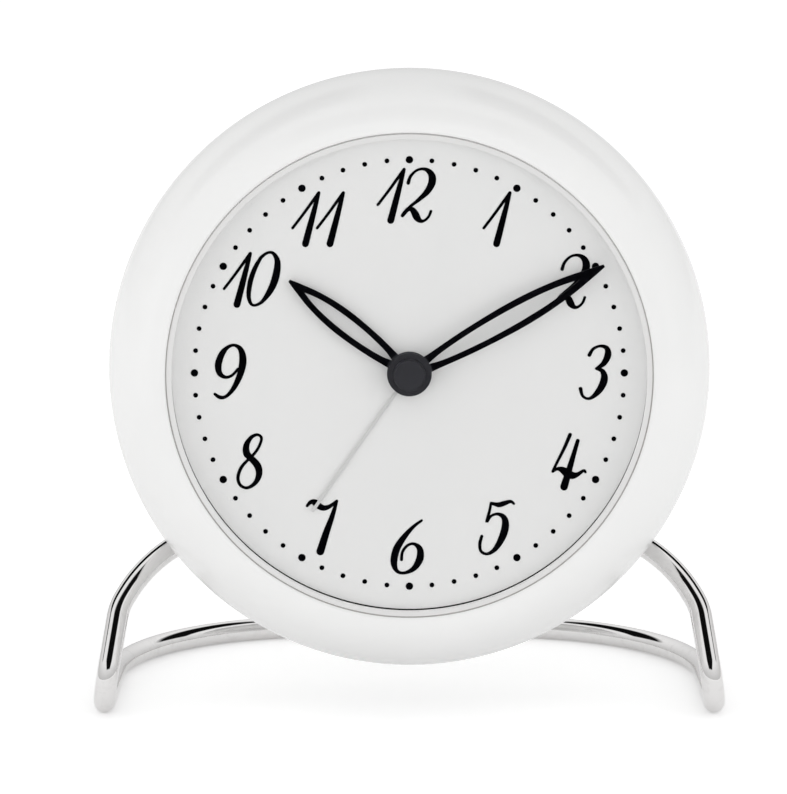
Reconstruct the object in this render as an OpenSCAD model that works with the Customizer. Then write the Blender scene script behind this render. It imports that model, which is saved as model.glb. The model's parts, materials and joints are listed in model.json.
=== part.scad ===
// Quartz alarm clock: a round plastic case tilted back on a stand bent from one steel wire.
// The front looks along -Y, and the dial's own frame has x to the right, y up and z out of the face.

/* [Case] */
// Outside diameter of the front ring at its widest
ring_d = 110; // [109.6:0.1:112]
// Diameter of the rebate that holds the lens
rebate_d = 89.3; // [89:0.1:89.6]
// How far the ring's crown stands in front of the dial face
ring_rise = 4.4; // [4.2:0.1:5]
// How far the ring's widest place lies behind the dial face
ring_widest = 9.4; // [9:0.1:9.8]
// Depth of the case behind the dial face
case_depth = 40; // [40:0.2:42]
// Outside diameter of the drum behind the ring
drum_d = 82; // [82:0.1:83]
// Height of the dial's middle above the table
dial_height = 64.9; // [64:0.1:67]
// Degrees that the case leans back
case_tilt = 6.4; // [5.5:0.1:7.5]
// How far the dial's middle stands behind the stand's front corners
case_setback = 6; // [5:0.1:7]
// Thickness of the lens
lens_t = 1.5; // [1.2:0.1:1.6]
// How far the lens bulges above its rim
lens_bulge = 3.4; // [3.2:0.1:3.8]

/* [Dial] */
// Diameter of the circle of minute dots
dot_ring_d = 78.6; // [78:0.1:80]
// Diameter of an hour dot
hour_dot_d = 1.36; // [1.1:0.02:1.5]
// Diameter of a minute dot
minute_dot_d = 0.88; // [0.6:0.02:1]
// Height of the numerals
numeral_h = 10; // [9.4:0.1:10.4]
// Radius of the circle that the numerals' middles lie on
numeral_ring_r = 33.1; // [32.8:0.1:33.3]

/* [Hands] */
// Length of the hour hand from the dial's middle
hour_hand_l = 27.9; // [25:0.1:29]
// Length of the minute hand from the dial's middle
minute_hand_l = 40.9; // [38:0.1:41.4]
// Length of the alarm hand from the dial's middle
alarm_hand_l = 31; // [28:0.1:33]
// Widest place of the hour hand
hour_hand_w = 4.8; // [4.4:0.1:5]
// Widest place of the slot in the hour hand
hour_slot_w = 2.5; // [2:0.1:2.7]
// Widest place of the minute hand
minute_hand_w = 5.2; // [4.8:0.1:5.4]
// Widest place of the slot in the minute hand
minute_slot_w = 2.9; // [2.4:0.1:3.1]
// Clock position of the hour hand, in degrees from twelve
hour_angle = 308; // [300:0.5:315]
// Clock position of the minute hand, in degrees from twelve
minute_angle = 60.6; // [55:0.1:66]
// Clock position of the alarm hand, in degrees from twelve
alarm_angle = 214.9; // [200:0.1:225]
// Diameter of the cap over the hands
hub_cap_d = 5.8; // [5:0.1:7]

/* [Stand] */
// Diameter of the wire
wire_d = 4; // [3.8:0.1:4.1]
// Distance between the two front corners, along the wire's middle
stand_w = 113; // [112:0.5:116]
// Distance from the front corners to the middle of the rear bow
stand_l = 70.1; // [68:0.1:74]
// Length of a leg up to its first bend
leg_l = 21.5; // [20:0.1:23]
// Bend radius of the front corners
foot_bend_r = 5; // [4:0.1:5.6]
// Bend radius of the rear corners
corner_bend_r = 38; // [34:0.5:38.4]
// Bend radius of the rear bow
bow_r = 88; // [80:1:90]

/* [Controls] */
// Diameter of the two setting knobs
knob_d = 11; // [9:0.5:12]
// How far the knobs reach out behind the cover
knob_l = 6; // [4:0.5:8]
// Diameter of the snooze button
button_d = 9; // [8:0.2:9.6]
// Travel of the snooze button
button_travel = 1.2; // [0.8:0.1:1.3]
// Travel of the alarm switch
switch_travel = 3; // [2:0.2:3.2]

/* [Battery] */
// Diameter of the cell
cell_d = 14.2; // [13.8:0.1:14.4]
// Length of the cell with its terminal
cell_l = 50.5; // [49.5:0.1:50.5]

/* [Hidden] */
$fn = 64;

// Clearances: a running fit, a seat between still pieces, a threaded or pressed hole
run_fit = 0.05;
part_gap = 0.2;
snug_fit = 0.02;
// How far every cut runs past the face that it opens
overrun = 1;

// Front ring, as a revolved outline
ring_r = ring_d / 2;
rebate_r = rebate_d / 2;
ring_wall = 2.2;
lip_r = 0.75;
crown_r = rebate_r + lip_r;
ledge_z = 2.4;
ledge_w = 0.65;
sight_r = rebate_r - ledge_w;
sight_taper = 0.3;
foot_w = 2;
foot_r = sight_r - sight_taper;
foot_outer_r = foot_r + foot_w;
rear_curl = 4.2;
rear_rim_r = ring_r - rear_curl;
ring_back = 16.5;
flange_t = 2;
flange_front = ring_back - flange_t;
rear_lip_w = 1.3;
flange_seat_w = 1;
flange_hole_r = rear_rim_r - rear_lip_w;
flange_r = flange_hole_r - part_gap;
inner_rim_r = flange_hole_r - flange_seat_w;
front_oval_rx = ring_r - crown_r;
front_oval_ry = ring_rise + ring_widest;
hollow_rx = front_oval_rx - ring_wall;
hollow_ry = front_oval_ry - ring_wall;
ring_boss_r = 1.9;
ring_boss_place_r = inner_rim_r - flange_seat_w;
ring_screw_l = 8;

// Screws: shank, head and its sunk seat
small_screw_r = 0.8;
small_head_r = 1.6;
small_head_t = 1.1;

// Dial stack, as depths behind the dial face
dial_t = 0.5;
ink_t = 0.06;
gasket_h = 1.6;
gasket_hole_r = foot_r + run_fit;
dial_r = foot_outer_r - part_gap;
carrier_t = 1.6;
carrier_lap = 1.3;
carrier_back = dial_t + carrier_t;
carrier_r = foot_outer_r + carrier_lap;

// Lens
lens_r = rebate_r - 3 * run_fit;
lens_rim_w = 0.9;
lens_rim_top = ledge_z + part_gap + lens_t;
lens_top = lens_rim_top + lens_bulge;
lens_sphere_r = (lens_r * lens_r + lens_bulge * lens_bulge) / (2 * lens_bulge);

// Drum and rear cover
drum_r = drum_d / 2;
drum_wall = 2.2;
drum_in_r = drum_r - drum_wall;
drum_edge_r = 1.2;
cover_t = 2.4;
cover_front = case_depth - cover_t;
cover_r = drum_in_r - part_gap;
cover_post_r = 2.6;
cover_post_l = 7.6;
cover_post_place_r = drum_in_r - cover_post_r - 3 * part_gap;
cover_post_angles = [45, 135, 270];
cover_screw_l = 6;

// Every straight meets its bend inside a sleeve a hair thicker than the rod: shares of the rod's radius
sleeve_share = 0.01;
sleeve_l_share = 0.05;
joint_share = 0.02;

// Wire stand
wire_r = wire_d / 2;
leg_slope = 37;
leg_lean = 8.8;
knee_turn = 19.6;
shoulder_turn = 27.6;
knee_bend_r = 12.2;
shoulder_bend_r = 28;
knee_straight_l = 0.6;
rail_in = 4.4;
bow_sweep = 17.1;
socket_l = 5;
socket_floor = 0.8;
socket_wall = 1.15;
socket_start = 1.5;

// Battery tub in the rear cover
tub_wall = 1.4;
tub_slack = 1.15;
tub_in_l = cell_l + 4.2 * tub_slack;
tub_in_h = cell_d + 2 * tub_slack;
tub_in_t = cell_d + tub_slack;
tub_y = -10.75;
door_t = 1.6;
door_ledge = 1;
tub_back = case_depth - door_t;
tub_in_front = tub_back - tub_in_t;
tub_front = tub_in_front - tub_wall;
cell_depth = tub_back - tub_in_t / 2;

// Places on the movement, from the dial's middle; it fills the room between the dial carrier and the tub
lead_room = 1.35;
cover_plate_back = tub_front - lead_room;
movement_t = cover_plate_back - carrier_back;
function in_room(shares) = [for (s = shares) carrier_back + s * movement_t];
housing_w = 55;
housing_corner_r = 9;
housing_wall = 1.2;
housing_shares = [0.0659, 0.9341];
housing_floor = in_room(housing_shares)[0];
housing_back = in_room(housing_shares)[1];
housing_boss_r = 3.6;
boss_hole_r = housing_boss_r + run_fit * 2;
post_place = 21;
post_r = 2.8;
shoulder_r = 4;
movement_screw_r = 1.05;
movement_head_r = 2;
movement_head_t = 1.2;
middle_shares = [0.3132, 0.3791];
middle_layer = in_room(middle_shares);
pivot_pin_r = 0.8;
pivot_pin_share = 0.2912;
pivot_pin_end = carrier_back + pivot_pin_share * movement_t;
train_arbor_r = 0.5;
train_arbor_shares = [0.3297, 0.9725];
train_arbor_layer = in_room(train_arbor_shares);

// Wheel layers, each a front and a back depth as shares of the movement's room
alarm_shares = [0.0879, 0.1319];
hour_shares = [0.1538, 0.1978];
motion_pinion_shares = [0.1538, 0.2143];
motion_shares = [0.2253, 0.2692];
cannon_shares = [0.2198, 0.2857];
shoulder_shares = [0.3846, 0.4011];
centre_shares = [0.4066, 0.4451];
washer_shares = [0.4505, 0.4615];
third_pinion_shares = [0.4011, 0.456];
third_shares = [0.478, 0.511];
seconds_pinion_shares = [0.4725, 0.522];
seconds_shares = [0.544, 0.5714];
step_pinion_shares = [0.5385, 0.5879];
step_shares = [0.6099, 0.6374];
rotor_pinion_shares = [0.6044, 0.6484];
magnet_shares = [0.6758, 0.7582];
core_shares = [0.6593, 0.6978];
stator_shares = [0.6978, 0.7363];
board_shares = [0.7857, 0.8407];
arbor_end_share = 0.4698;
alarm_layer = in_room(alarm_shares);
hour_layer = in_room(hour_shares);
motion_pinion_layer = in_room(motion_pinion_shares);
motion_layer = in_room(motion_shares);
cannon_layer = in_room(cannon_shares);
shoulder_layer = in_room(shoulder_shares);
centre_layer = in_room(centre_shares);
washer_layer = in_room(washer_shares);
third_pinion_layer = in_room(third_pinion_shares);
third_layer = in_room(third_shares);
seconds_pinion_layer = in_room(seconds_pinion_shares);
seconds_layer = in_room(seconds_shares);
step_pinion_layer = in_room(step_pinion_shares);
step_layer = in_room(step_shares);
rotor_pinion_layer = in_room(rotor_pinion_shares);
magnet_layer = in_room(magnet_shares);
core_layer = in_room(core_shares);
stator_layer = in_room(stator_shares);
board_layer = in_room(board_shares);
arbor_end = carrier_back + arbor_end_share * movement_t;

// Tooth size of each pair, and tooth counts
motion_size = 0.4;
alarm_size = 0.4;
centre_size = 0.22;
third_size = 0.2;
seconds_size = 0.18;
step_size = 0.16;
cannon_teeth = 12;
motion_teeth = 36;
motion_pinion_teeth = 10;
hour_teeth = 40;
alarm_teeth = 36;
idler_teeth = 24;
small_pinion_teeth = 8;
centre_teeth = 60;
third_teeth = 64;
rotor_pinion_teeth = 10;
hour_size = motion_size * (cannon_teeth + motion_teeth) / (motion_pinion_teeth + hour_teeth);
// One tooth: shares of its pitch across, and of the tooth size in and out
tooth_shares = [[-0.31, -1.2], [-0.11, 0.9], [0.11, 0.9], [0.31, -1.2]];

// Shafts on the dial's middle
arbor_r = 1;
hour_pipe_r = 1.7;
alarm_pipe_r = 2.4;
arbor_top = 3.9;
hour_pipe_top = 1.9;
alarm_pipe_top = 0.9;
arbor_shoulder_r = 1.6;
washer_r = 2.2;

// Hands: heights above the dial face and shapes
alarm_hand_z = 0.3;
hour_hand_z = 1.2;
minute_hand_z = 2.3;
hand_t = 0.4;
alarm_hub_r = 3.4;
hour_hub_r = 4.1;
minute_hub_r = 4;
alarm_hand_w = 0.6;
cap_t = 1.9;
cap_edge_r = 0.35;
// Half width along a hand, as shares of its length and of half its widest place
leaf_shares = [
    [0.08, 0.6], [0.13, 0.63], [0.3, 0.87], [0.5, 1], [0.65, 0.95], [0.8, 0.71], [0.92, 0.37], [1, 0.1]
];
// Half width along a hand's slot, as shares of the way from the hub to the slot's end and of half its width
slot_shares = [
    [0, 0.03], [0.08, 0.42], [0.2, 0.72], [0.36, 0.94], [0.51, 1], [0.65, 0.94], [0.79, 0.76], [0.9, 0.46], [1, 0.03]
];
slot_end_share = 0.87;
curve_steps = 4;

// Setting knobs
knob_gap = 0.6;
knob_grips = 24;
knob_grip = 0.5;
knob_cover_t = 1.2;
grip_shares = [[-0.34, -1], [-0.2, 0], [0.2, 0], [0.34, -1]];

// Battery contacts, leads and door
nub_r = 2.75;
nub_l = 1;
contact_t = 0.4;
contact_w = 8;
lead_r = 0.5;
lead_bend_r = 1.5;
lead_y = 12;
lead_end = [12, 22.8];
lead_depth = cover_plate_back + lead_r + part_gap;
contact_x = tub_in_l / 2 - contact_t;
door_l = tub_in_l + 2 * door_ledge - 2 * part_gap;
door_h = tub_in_h + 2 * door_ledge - 2 * part_gap;
notch_r = 4;
notch_depth = 0.7;

// Buzzer, slide switch and snooze switch
buzzer_place = [0, 22];
buzzer_r = 10.5;
buzzer_t = 4.5;
buzzer_front = cover_front - buzzer_t;
buzzer_wall = 0.8;
buzzer_disc_t = 0.3;
sound_hole_r = 1;
sound_ring_r = 4.5;
sound_holes = 6;
buzzer_lead_x = 3;
slide_place = [0, 6];
slide_case = [12, 6];
slide_case_t = 3.5;
slide_floor = 1.2;
slide_block = [3, 2.9];
slide_rise = 1.4;
button_r = button_d / 2;
button_share = 0.65;
button_depth = button_share * case_depth;
button_top = drum_r + 2;
button_skirt = 0.9;
button_skirt_t = 1;
button_under_t = 1.2;
plunger_r = 1.2;
plunger_l = 3.4;
snooze_case = [11, 6];
snooze_case_h = 4;
bracket_t = 1.3;
bracket_w = 18.4;
bracket_reach = 4;
bracket_layer = [button_depth - bracket_reach, button_depth + bracket_reach];
skirt_top = drum_in_r - 1.1;
skirt_bottom = skirt_top - button_skirt_t;
button_bottom = skirt_bottom - button_under_t;
snooze_top = button_bottom - 1.6 * button_travel;
snooze_bottom = snooze_top - snooze_case_h;

// Motor and board
core_y = 15;
core_x = [-10, 14];
core_w_share = 0.2198;
core_w = core_w_share * movement_t;
core_post_share = 0.0879;
core_post_r = core_post_share * movement_t;
bobbin_x = [core_x[0] + core_w, core_x[1] - core_w];
bobbin_share = 0.1429;
bobbin_r = bobbin_share * movement_t;
flange_share = 0.2308;
bobbin_flange_r = flange_share * movement_t;
bobbin_flange_t = 0.8;
winding_share = 0.2143;
winding_r = winding_share * movement_t;
magnet_r = 1.8;
stator_gap = 0.3;
stator_r = 4.6;
stator_arm_w = 3.4;
stator_elbow_y = 8;
board_size = [32, 6];
board_y = 22.3;
board_post_x = 14;
board_post_r = 1.5;
chip_place = [-7.5, 22.3];
chip_size = [5, 4];
chip_share = 0.0495;
chip_t = chip_share * movement_t;
crystal_share = 0.0385;
crystal_r = crystal_share * movement_t;
crystal_x = [5, 10];
spring_post_y = -14;
spring_post_r = 1.2;
spring_shares = [0.1593, 0.1703];
spring_layer = in_room(spring_shares);
spring_w = 1.6;

// Numerals: skeletons as shares of their height, each point with its share of the full pen width
slant_share = 0.26;
hair_share = 0.041;
stem_share = 0.134;
overlap_share = 0.03;
pen_steps = 4;
pen_spread = 0.01;
wave_two_shares = [
    [0.03, 0.12, 0.25], [0.1, 0.235, 0.4], [0.17, 0.235, 0.6], [0.24, 0.17, 0.9], [0.3, 0.09, 0.95],
    [0.37, 0.03, 0.5], [0.44, 0.02, 0.1], [0.51, 0.09, 0.05], [0.53, 0.2, 0.1]
];
digit_shares = [
    [[[0.06, 0.9, 0.2], [0, 0.7, 0.45], [-0.02, 0.45, 0.55], [0.02, 0.18, 0.4], [0.13, 0.02, 0.1],
      [0.28, 0.07, 0.2], [0.39, 0.3, 0.8], [0.42, 0.55, 1], [0.38, 0.82, 0.7], [0.26, 0.975, 0.2],
      [0.15, 0.98, 0.1], [0.06, 0.9, 0.2]]],
    [[[-0.31, 0.32, 0.1], [-0.19, 0.56, 0.1], [-0.07, 0.82, 0.15], [0, 0.97, 0.2]],
     [[0, 0.97, 0.2], [0, 0.72, 0.5], [0, 0.4, 0.75], [0, 0.03, 0.9]]],
    [[[-0.02, 0.72, 0.25], [-0.01, 0.84, 0.15], [0.07, 0.95, 0.05], [0.19, 0.98, 0.15],
      [0.31, 0.93, 0.6], [0.39, 0.83, 1], [0.41, 0.7, 1], [0.36, 0.55, 0.7], [0.25, 0.41, 0.3],
      [0.13, 0.29, 0.1], [0.06, 0.2, 0.1], [0.03, 0.12, 0.25]], wave_two_shares],
    [[[-0.04, 0.82, 0.3], [0, 0.93, 0.15], [0.11, 0.985, 0.1], [0.24, 0.95, 0.5], [0.3, 0.82, 0.9],
      [0.26, 0.66, 0.6], [0.15, 0.57, 0.05]],
     [[0.15, 0.57, 0.05], [0.28, 0.52, 0.5], [0.35, 0.37, 1], [0.31, 0.17, 0.8], [0.18, 0.02, 0.15],
      [0.04, 0.06, 0.1], [-0.04, 0.2, 0.3]]],
    [[[0.07, 0.99, 0.3], [0.03, 0.75, 0.2], [-0.03, 0.5, 0.1], [-0.07, 0.32, 0.1]],
     [[-0.07, 0.31, 0.05], [0, 0.36, 0.2], [0.1, 0.34, 0.85], [0.2, 0.28, 1.2], [0.31, 0.24, 1],
      [0.4, 0.26, 0.4], [0.49, 0.33, 0.1], [0.53, 0.3, 0.05]],
     [[0.24, 0.88, 0.3], [0.23, 0.6, 0.5], [0.22, 0.3, 0.8], [0.21, 0.03, 1.05]]],
    [[[-0.03, 0.95, 0.1], [0.05, 0.93, 0.3], [0.13, 0.92, 0.55], [0.22, 0.95, 0.5], [0.32, 0.98, 0.2],
      [0.39, 0.94, 0.05]],
     [[-0.03, 0.95, 0.1], [-0.02, 0.8, 0.1], [-0.02, 0.6, 0.1], [0.03, 0.71, 0.05], [0.14, 0.75, 0.15],
      [0.27, 0.69, 0.6], [0.34, 0.54, 1], [0.34, 0.33, 0.95], [0.27, 0.11, 0.5], [0.15, 0.015, 0.15],
      [0.02, 0.06, 0.1], [-0.04, 0.2, 0.2], [-0.04, 0.34, 0.15]]],
    [[[0.3, 0.98, 0.05], [0.19, 0.88, 0.2], [0.07, 0.7, 0.6], [-0.02, 0.47, 0.95], [-0.01, 0.22, 0.9],
      [0.09, 0.05, 0.3], [0.24, 0.015, 0.15], [0.39, 0.1, 0.6], [0.45, 0.28, 1], [0.4, 0.46, 0.7],
      [0.27, 0.55, 0.15], [0.16, 0.52, 0.1], [0.1, 0.4, 0.1], [0.12, 0.26, 0.15]]],
    [[[-0.2, 0.88, 0.1], [-0.15, 0.95, 0.35], [-0.07, 0.94, 0.85], [0.03, 0.87, 0.8], [0.13, 0.84, 0.6],
      [0.23, 0.88, 0.3], [0.32, 0.97, 0.1]],
     [[0.32, 0.97, 0.1], [0.31, 0.7, 0.5], [0.28, 0.4, 0.85], [0.26, 0.04, 1.1]]],
    [[[0.08, 0.57, 0.8], [-0.01, 0.65, 0.95], [-0.05, 0.8, 0.7], [0, 0.94, 0.3], [0.1, 0.99, 0.1],
      [0.19, 0.93, 0.1], [0.19, 0.79, 0.1], [0.14, 0.65, 0.1], [0.05, 0.53, 0.1], [-0.04, 0.38, 0.2],
      [-0.05, 0.2, 0.2], [0.03, 0.06, 0.15], [0.17, 0.01, 0.15], [0.29, 0.1, 0.4], [0.32, 0.26, 0.8],
      [0.25, 0.42, 0.95], [0.08, 0.57, 0.8]]],
    [[[0.29, 0.54, 0.1], [0.22, 0.43, 0.1], [0.11, 0.39, 0.2], [-0.02, 0.46, 0.6], [-0.09, 0.63, 0.9],
      [-0.07, 0.83, 0.7], [0.01, 0.95, 0.25], [0.12, 0.98, 0.15], [0.25, 0.9, 0.6], [0.34, 0.71, 1],
      [0.36, 0.46, 0.85], [0.31, 0.2, 0.5], [0.21, 0.04, 0.2], [0.1, 0.02, 0.3], [-0.01, 0.08, 0.1]]]
];
// Where each numeral's middle lies, twelve first, as shares of the numerals' circle
place_shares = [
    [-0.024, 0.991], [0.483, 0.861], [0.894, 0.511], [1.021, 0.003], [0.882, -0.492], [0.483, -0.861],
    [-0.009, -0.967], [-0.483, -0.855], [-0.882, -0.492], [-0.997, 0.009], [-0.876, 0.523], [-0.505, 0.861]
];

// The whole clock stands centred over the origin
lens_front = (lens_top - lens_sphere_r) * cos(case_tilt) + lens_sphere_r;
ring_front = crown_r * sin(case_tilt) - ring_widest * cos(case_tilt)
    + norm([front_oval_rx * sin(case_tilt), front_oval_ry * cos(case_tilt)]);
front_y = case_setback - max(lens_front, ring_front);
rear_y = stand_l + wire_r;
shift_y = -(front_y + rear_y) / 2;

// Curves and directions
function polar(r, a) = [r * cos(a), r * sin(a)];
function unit(v) = v / norm(v);
function oval(middle, rx, ry, from, to, steps) =
    [for (i = [0 : steps]) let (a = from + (to - from) * i / steps)
        [middle.x + rx * cos(a), middle.y + ry * sin(a)]];
function spline(a, b, c, d, u) =
    (2 * b + (c - a) * u + (2 * a - 5 * b + 4 * c - d) * u * u + (3 * b - a - 3 * c + d) * u * u * u) / 2;
function smooth(p, steps) = let (last = len(p) - 1) concat(
    [for (i = [0 : last - 1], k = [0 : steps - 1])
        spline(p[max(i - 1, 0)], p[i], p[i + 1], p[min(i + 2, last)], k / steps)],
    [p[last]]);
function turn(a, b, c) = acos(unit(b - a) * unit(c - b));
function bend_reach(a, b, c, r) = r * tan(turn(a, b, c) / 2);

// Dial frame and the wire's place in it
function to_dial_way(d) = [
    d.x,
    d.y * sin(case_tilt) + d.z * cos(case_tilt),
    -d.y * cos(case_tilt) + d.z * sin(case_tilt)
];
function to_dial(p) = to_dial_way(p - [0, case_setback, dial_height]);
function mirrored(p) = [-p.x, p.y, p.z];

// A leg rises in a plane that leans back, and bends inward twice on its way to the drum
function in_leg(x, up) = [x, up * sin(leg_slope), wire_r + up * cos(leg_slope)];
knee_lean = leg_lean + knee_turn;
shoulder_lean = knee_lean + shoulder_turn;
knee_step = knee_straight_l + knee_bend_r * tan(knee_turn / 2) + shoulder_bend_r * tan(shoulder_turn / 2);
foot_point = [stand_w / 2, 0, wire_r];
knee_x = foot_point.x - leg_l * sin(leg_lean);
knee_up = leg_l * cos(leg_lean);
shoulder_x = knee_x - knee_step * sin(knee_lean);
shoulder_up = knee_up + knee_step * cos(knee_lean);
knee_point = in_leg(knee_x, knee_up);
shoulder_point = in_leg(shoulder_x, shoulder_up);
wire_way = [
    -sin(shoulder_lean),
    cos(shoulder_lean) * sin(leg_slope),
    cos(shoulder_lean) * cos(leg_slope)
];
dial_way = to_dial_way(wire_way);
dial_start = to_dial(shoulder_point);
way_a = dial_way.x * dial_way.x + dial_way.y * dial_way.y;
way_b = dial_start.x * dial_way.x + dial_start.y * dial_way.y;
way_c = dial_start.x * dial_start.x + dial_start.y * dial_start.y - drum_r * drum_r;
way_to_drum = (-way_b - sqrt(way_b * way_b - way_a * way_c)) / way_a;
drum_entry = dial_start + dial_way * way_to_drum;
wire_end = shoulder_point + wire_way * (way_to_drum + socket_l);
bow_y = stand_l + bow_r * (1 / cos(bow_sweep) - 1);
corner_x = (foot_point.x - tan(rail_in) * bow_y) / (1 - tan(rail_in) * tan(bow_sweep));
corner_point = [corner_x, bow_y - tan(bow_sweep) * corner_x, wire_r];
wire_points = [
    wire_end, shoulder_point, knee_point, foot_point, corner_point, [0, bow_y, wire_r],
    mirrored(corner_point), mirrored(foot_point), mirrored(knee_point), mirrored(shoulder_point),
    mirrored(wire_end)
];
wire_bends = [
    shoulder_bend_r, knee_bend_r, foot_bend_r, corner_bend_r, bow_r,
    corner_bend_r, foot_bend_r, knee_bend_r, shoulder_bend_r
];

// Gear places: each wheel stands at the pair's own distance from the one that drives it
function pair(size, a, b) = size * (a + b) / 2;
function meshed(phase, way, a, b) = way + 180 + (way - phase) * a / b + 180 / b;
function along(place, distance, way) = place + polar(distance, way);
middle = [0, 0];
motion_way = 135;
motion_place = along(middle, pair(motion_size, cannon_teeth, motion_teeth), motion_way);
motion_phase = meshed(0, motion_way, cannon_teeth, motion_teeth);
hour_phase = meshed(0, motion_way + 180, motion_pinion_teeth, hour_teeth);
time_place = along(motion_place, pair(motion_size, cannon_teeth, motion_teeth), 180);
time_phase = meshed(motion_phase, 180, motion_teeth, cannon_teeth);
alarm_place = [-time_place.x, time_place.y];
idler_reach = pair(alarm_size, alarm_teeth, idler_teeth);
pinion_reach = pair(alarm_size, idler_teeth, cannon_teeth);
alarm_far = norm(alarm_place);
idler_bend = acos(
    (idler_reach * idler_reach + alarm_far * alarm_far - pinion_reach * pinion_reach)
    / (2 * idler_reach * alarm_far));
idler_way = atan2(alarm_place.y, alarm_place.x) - idler_bend;
idler_place = along(middle, idler_reach, idler_way);
idler_phase = meshed(0, idler_way, alarm_teeth, idler_teeth);
alarm_pinion_way = atan2(alarm_place.y - idler_place.y, alarm_place.x - idler_place.x);
alarm_pinion_phase = meshed(idler_phase, alarm_pinion_way, idler_teeth, cannon_teeth);
third_way = -60;
third_place = along(middle, pair(centre_size, centre_teeth, small_pinion_teeth), third_way);
third_pinion_phase = meshed(0, third_way, centre_teeth, small_pinion_teeth);
seconds_place = along(third_place, pair(third_size, third_teeth, small_pinion_teeth), 0);
seconds_pinion_phase = meshed(0, 0, third_teeth, small_pinion_teeth);
step_way = 60;
step_place = along(seconds_place, pair(seconds_size, centre_teeth, cannon_teeth), step_way);
step_pinion_phase = meshed(0, step_way, centre_teeth, cannon_teeth);
rotor_way = 150;
rotor_place = along(step_place, pair(step_size, centre_teeth, rotor_pinion_teeth), rotor_way);
rotor_phase = meshed(0, rotor_way, centre_teeth, rotor_pinion_teeth);

// Frames
module placed() translate([0, shift_y + case_setback, dial_height]) rotate([90 - case_tilt, 0, 0]) children();
module layer(depths) translate([0, 0, -depths[1]]) linear_extrude(depths[1] - depths[0]) children();
module at(place) translate([place.x, place.y, 0]) children();
module pin(r, depths) translate([0, 0, -depths[1]]) cylinder(r = r, h = depths[1] - depths[0]);
module pipe(outer, inner, depths) layer(depths) difference() {
    circle(r = outer);
    circle(r = inner);
}
module round_box(w, h, r) {
    square([w - 2 * r, h], center = true);
    square([w, h - 2 * r], center = true);
    for (x = [-1, 1], y = [-1, 1]) translate([x * (w / 2 - r), y * (h / 2 - r)]) circle(r = r);
}
module around(r, angles) for (a = angles) translate([r * cos(a), r * sin(a), 0]) children();
module corners(reach) for (x = [-1, 1], y = [-1, 1]) translate([x * reach, y * reach, 0]) children();

// Rods and bends
function frame(x, y, z) = [
    [x[0], y[0], z[0], 0], [x[1], y[1], z[1], 0], [x[2], y[2], z[2], 0], [0, 0, 0, 1]
];
function square_to(z) = unit(cross(abs(z.z) > abs(z.x) ? [1, 0, 0] : [0, 0, 1], z));
module rod(a, b, r) {
    z = unit(b - a);
    x = square_to(z);
    translate(a) multmatrix(frame(x, cross(z, x), z)) cylinder(r = r, h = norm(b - a));
}
module bend(a, b, c, bend_r, r) {
    before = unit(b - a);
    after = unit(c - b);
    inward = unit(after - before * (before * after));
    reach = bend_reach(a, b, c, bend_r);
    translate(b - before * reach + inward * bend_r)
        multmatrix(frame(-inward, before, cross(-inward, before)))
            rotate_extrude(angle = turn(a, b, c)) translate([bend_r, 0]) circle(r = r);
}
module rod_path(points, bends, r) {
    last = len(points) - 1;
    reach = [for (i = [0 : last])
        i == 0 || i == last ? 0 : bend_reach(points[i - 1], points[i], points[i + 1], bends[i - 1])];
    for (i = [0 : last - 1]) {
        way = unit(points[i + 1] - points[i]);
        from = points[i] + way * reach[i];
        to = points[i + 1] - way * reach[i + 1];
        short = way * r * joint_share;
        sleeve = way * r * sleeve_l_share;
        rod(from + (i > 0 ? short : 0 * short), to - (i < last - 1 ? short : 0 * short), r);
        if (i > 0) rod(from - sleeve, from + sleeve, r * (1 + sleeve_share));
        if (i < last - 1) rod(to - sleeve, to + sleeve, r * (1 + sleeve_share));
    }
    for (i = [1 : last - 1]) bend(points[i - 1], points[i], points[i + 1], bends[i - 1], r);
}

// Front
module ring_outline() polygon(concat(
    [[foot_r, gasket_h], [sight_r, ledge_z], [rebate_r, ledge_z]],
    oval([crown_r, ring_rise - lip_r], lip_r, lip_r, 180, 90, 6),
    oval([crown_r, -ring_widest], front_oval_rx, front_oval_ry, 86, 0, 22),
    oval([rear_rim_r, -ring_widest], rear_curl, ring_back - ring_widest, -9, -90, 9),
    [[flange_hole_r, -ring_back], [flange_hole_r, -flange_front], [inner_rim_r, -flange_front]],
    oval([inner_rim_r, -ring_widest], ring_r - ring_wall - inner_rim_r, flange_front - ring_widest, -80, 0, 8),
    oval([crown_r, -ring_widest], hollow_rx, hollow_ry, 8, acos((foot_outer_r - crown_r) / hollow_rx), 10),
    [[foot_outer_r, gasket_h]]
));
module front_ring() color("whitesmoke") placed() difference() {
    union() {
        rotate_extrude() ring_outline();
        around(ring_boss_place_r, [0 : 90 : 270]) pin(ring_boss_r, [-(ring_rise - ring_wall), flange_front]);
    }
    around(ring_boss_place_r, [0 : 90 : 270])
        pin(small_screw_r + snug_fit, [flange_front - ring_screw_l, flange_front + overrun]);
}
module under_dome(top, r, low) intersection() {
    translate([0, top - lens_sphere_r]) circle(r = lens_sphere_r, $fn = 720);
    translate([0, low]) square([r, lens_top]);
}
module lens() color("lightcyan", 0.3) placed() rotate_extrude() difference() {
    under_dome(lens_top, lens_r, ledge_z);
    under_dome(lens_top - lens_t, lens_r - lens_rim_w, ledge_z - overrun);
}
module dial_gasket() color("black") placed() pipe(dial_r, gasket_hole_r, [-gasket_h, 0]);
module dial() color("gainsboro") placed() pipe(dial_r, boss_hole_r, [0, dial_t]);
module minute_track() color("black") placed() layer([-ink_t, 0]) for (i = [0 : 59])
    translate(polar(dot_ring_d / 2, i * 6)) circle(d = i % 5 == 0 ? hour_dot_d : minute_dot_d, $fn = 32);
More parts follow.
